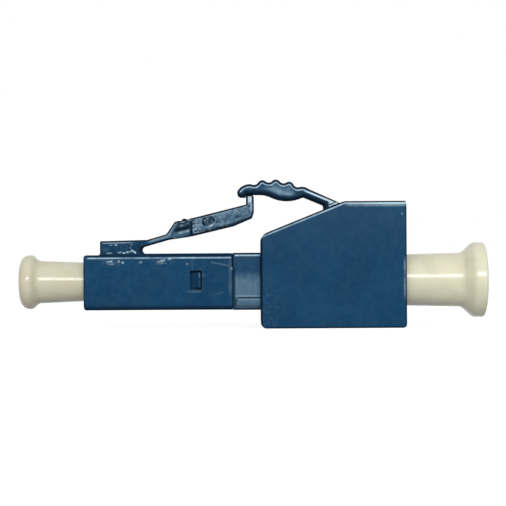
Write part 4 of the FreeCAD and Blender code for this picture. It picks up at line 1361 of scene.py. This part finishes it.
def coilTree():
    labels = ("Coil Radius", "Wire Radius", "Turns", "Length", "Place")
    tree, given = newTree("coil", {label: 0.0 for label in labels})
    add = tree.nodes.new
    spiral = add("GeometryNodeCurveSpiral")
    spiral.inputs["Resolution"].default_value = springLook["turnSteps"]
    circle = add("GeometryNodeCurvePrimitiveCircle")
    circle.inputs["Resolution"].default_value = springLook["wireSides"]
    swept = add("GeometryNodeCurveToMesh")
    swept.inputs["Fill Caps"].default_value = True
    shift = add("ShaderNodeCombineXYZ")
    turned = finishTree(tree, given, swept)
    linkNodes(tree,
              (given, "Coil Radius", spiral, "Start Radius"),
              (given, "Coil Radius", spiral, "End Radius"),
              (given, "Turns", spiral, "Rotations"),
              (given, "Length", spiral, "Height"),
              (given, "Wire Radius", circle, "Radius"),
              (spiral, "Curve", swept, "Curve"),
              (circle, "Curve", swept, "Profile Curve"),
              (given, "Place", shift, "X"),
              (shift, "Vector", turned, "Translation"))
    return tree


def makeSpring(material):
    wire, clear = springLook["wire"], springLook["clear"]
    piece = bpy.data.objects.new("spring", bpy.data.meshes.new("spring"))
    bpy.context.scene.collection.objects.link(piece)
    length = springLook["end"] - springLook["start"] - wire - 2 * clear
    runTree(piece, coilTree(), {"Coil Radius": (springLook["diameter"] - wire) / 2, "Wire Radius": wire / 2,
                                "Turns": springLook["turns"], "Length": length,
                                "Place": springLook["start"] + clear + wire / 2, "Finish": material})
    settle(piece)
    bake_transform(piece)
    shown(piece, "spring_steel", "ferrule_spring")


# Hidden pieces that keep the solids' shapes, with their edges broken

hiddenLook = {
    "bevel": 0.04,
    "segments": 2,
}


def makeHidden(name, node, material, body, slotName):
    piece = makePiece(name, cadCopy(node), material, hiddenLook["bevel"], segments=hiddenLook["segments"])
    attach(piece, body)
    shown(piece, slotName, node)


frontCream, rearCream = [creamPlastic(side + "Cream", creamLook[side]) for side in ("front", "rear")]
innerBlue = bluePlastic("innerBlue")
ceramicWhite, collarNickel, springSteel, fibreGlass = [
    plainFinish(name, *plainLook[name])
    for name in ("ceramicWhite", "collarNickel", "springSteel", "fibreGlass")]
print("materials ready")

makePlug()
makeLatch()
makeBlock()
makeTrigger()
makeNeck()
lathe("frontCap", "front_dust_cap", frontCream, "front_cap", "cream_plastic")
lathe("rearCap", "rear_dust_cap", rearCream, "rear_cap", "cream_plastic")
lathe("ferruleRod", "ferrule", ceramicWhite, "ferrule_unit", "white_ceramic")
makeSpring(springSteel)
makeHidden("holder", "sleeve_holder", innerBlue, "housing", "blue_plastic")
makeHidden("sleeve", "split_sleeve", ceramicWhite, "housing", "white_ceramic")
makeHidden("collar", "ferrule_flange", collarNickel, "ferrule_unit", "nickel_brass")
makeHidden("fibre", "doped_fibre", fibreGlass, "ferrule_unit", "fibre_glass")
print("pieces made")


# Studio: white sweep, soft lamp above the camera, camera at the photograph's view

studio = {
    "eye": Vector((13.548, -130.0, 2.256)),
    "focal": 1603.0,              # pixels over a frame of 506
    "frameSize": 506,
    "sensor": 36.0,
    "clipStart": 0.001,           # metres
    "roll": -0.35,
    "lampTurn": 18.0,             # above the line of sight
    "lampAway": 400.0,
    "lampSize": (440.0, 48.0),    # a long soft strip
    "lampPower": 1.15,
    "aimHeight": 1.0,
    "ambient": 0.36,
    "floorReach": 3.0,            # metres
    "floorGlow": 0.86,            # what the floor shows by itself, the rest is light and shadow
    "floorTone": 0.42,
    "floorBounce": 0.3,           # its tone for the light that it throws back
}


def makeCamera():
    data = bpy.data.cameras.new("camera")
    data.sensor_width = studio["sensor"]
    data.lens = studio["focal"] * data.sensor_width / studio["frameSize"]
    data.clip_start = studio["clipStart"]
    camera = bpy.data.objects.new("camera", data)
    bpy.context.scene.collection.objects.link(camera)
    turn = Matrix.Rotation(math.radians(90), 4, "X") @ Matrix.Rotation(math.radians(studio["roll"]), 4, "Z")
    camera.matrix_world = Matrix.Translation(studio["eye"] * mm) @ turn
    bpy.context.scene.camera = camera


def makeLamp():
    data = bpy.data.lights.new("key", "AREA")
    data.shape = "ELLIPSE"
    data.size, data.size_y = [side * mm for side in studio["lampSize"]]
    data.energy = studio["lampPower"]
    lamp = bpy.data.objects.new("key", data)
    bpy.context.scene.collection.objects.link(lamp)
    rise = math.radians(studio["lampTurn"])
    aim = Vector((studio["eye"].x, 0, studio["aimHeight"]))
    away = Vector((0, -math.cos(rise), math.sin(rise))) * studio["lampAway"]
    turn = away.to_track_quat("Z", "Y").to_matrix().to_4x4()
    lamp.matrix_world = Matrix.Translation((aim + away) * mm) @ turn


def seenWhite(start):                               # 1 for rays that show the background
    kinds = [start.node("ShaderNodeLightPath", out=name)
             for name in ("Is Camera Ray", "Is Glossy Ray", "Is Transmission Ray")]
    return kinds[0].most(kinds[1]).most(kinds[2])


def makeWorld():
    world = bpy.data.worlds.new("studio")
    bpy.context.scene.world = world
    world.use_nodes = True
    world.node_tree.nodes.clear()
    start = Wire(world.node_tree)
    level = studio["ambient"]
    strength = level + (1 - level) * seenWhite(start)
    light = start.node("ShaderNodeBackground", None, {"Color": (1, 1, 1, 1), "Strength": strength})
    start.node("ShaderNodeOutputWorld", None, {"Surface": light})


def makeFloor():
    material, start = newMaterial("floorPale")
    lit, shade = [start.node("ShaderNodeBsdfDiffuse", None, {"Color": (tone, tone, tone, 1)})
                  for tone in (studio["floorBounce"], studio["floorTone"])]
    white = start.node("ShaderNodeEmission", None, {"Color": (1, 1, 1, 1), "Strength": studio["floorGlow"]})
    pale = start.node("ShaderNodeAddShader", None, {0: shade, 1: white})
    both = start.node("ShaderNodeMixShader", None, {0: seenWhite(start), 1: lit, 2: pale})
    start.node("ShaderNodeOutputMaterial", None, {"Surface": both})
    data = bpy.data.meshes.new("floor")
    reach, low = studio["floorReach"], cadBox[0].z
    corners = [(-reach, -reach, low), (reach, -reach, low), (reach, reach, low), (-reach, reach, low)]
    data.from_pydata(corners, [], [(0, 1, 2, 3)])
    data.materials.append(material)
    floor = bpy.data.objects.new("floor", data)
    bpy.context.scene.collection.objects.link(floor)


makeCamera()
makeLamp()
makeWorld()
makeFloor()
bpy.context.scene.view_settings.view_transform = "Standard"
print("studio ready")
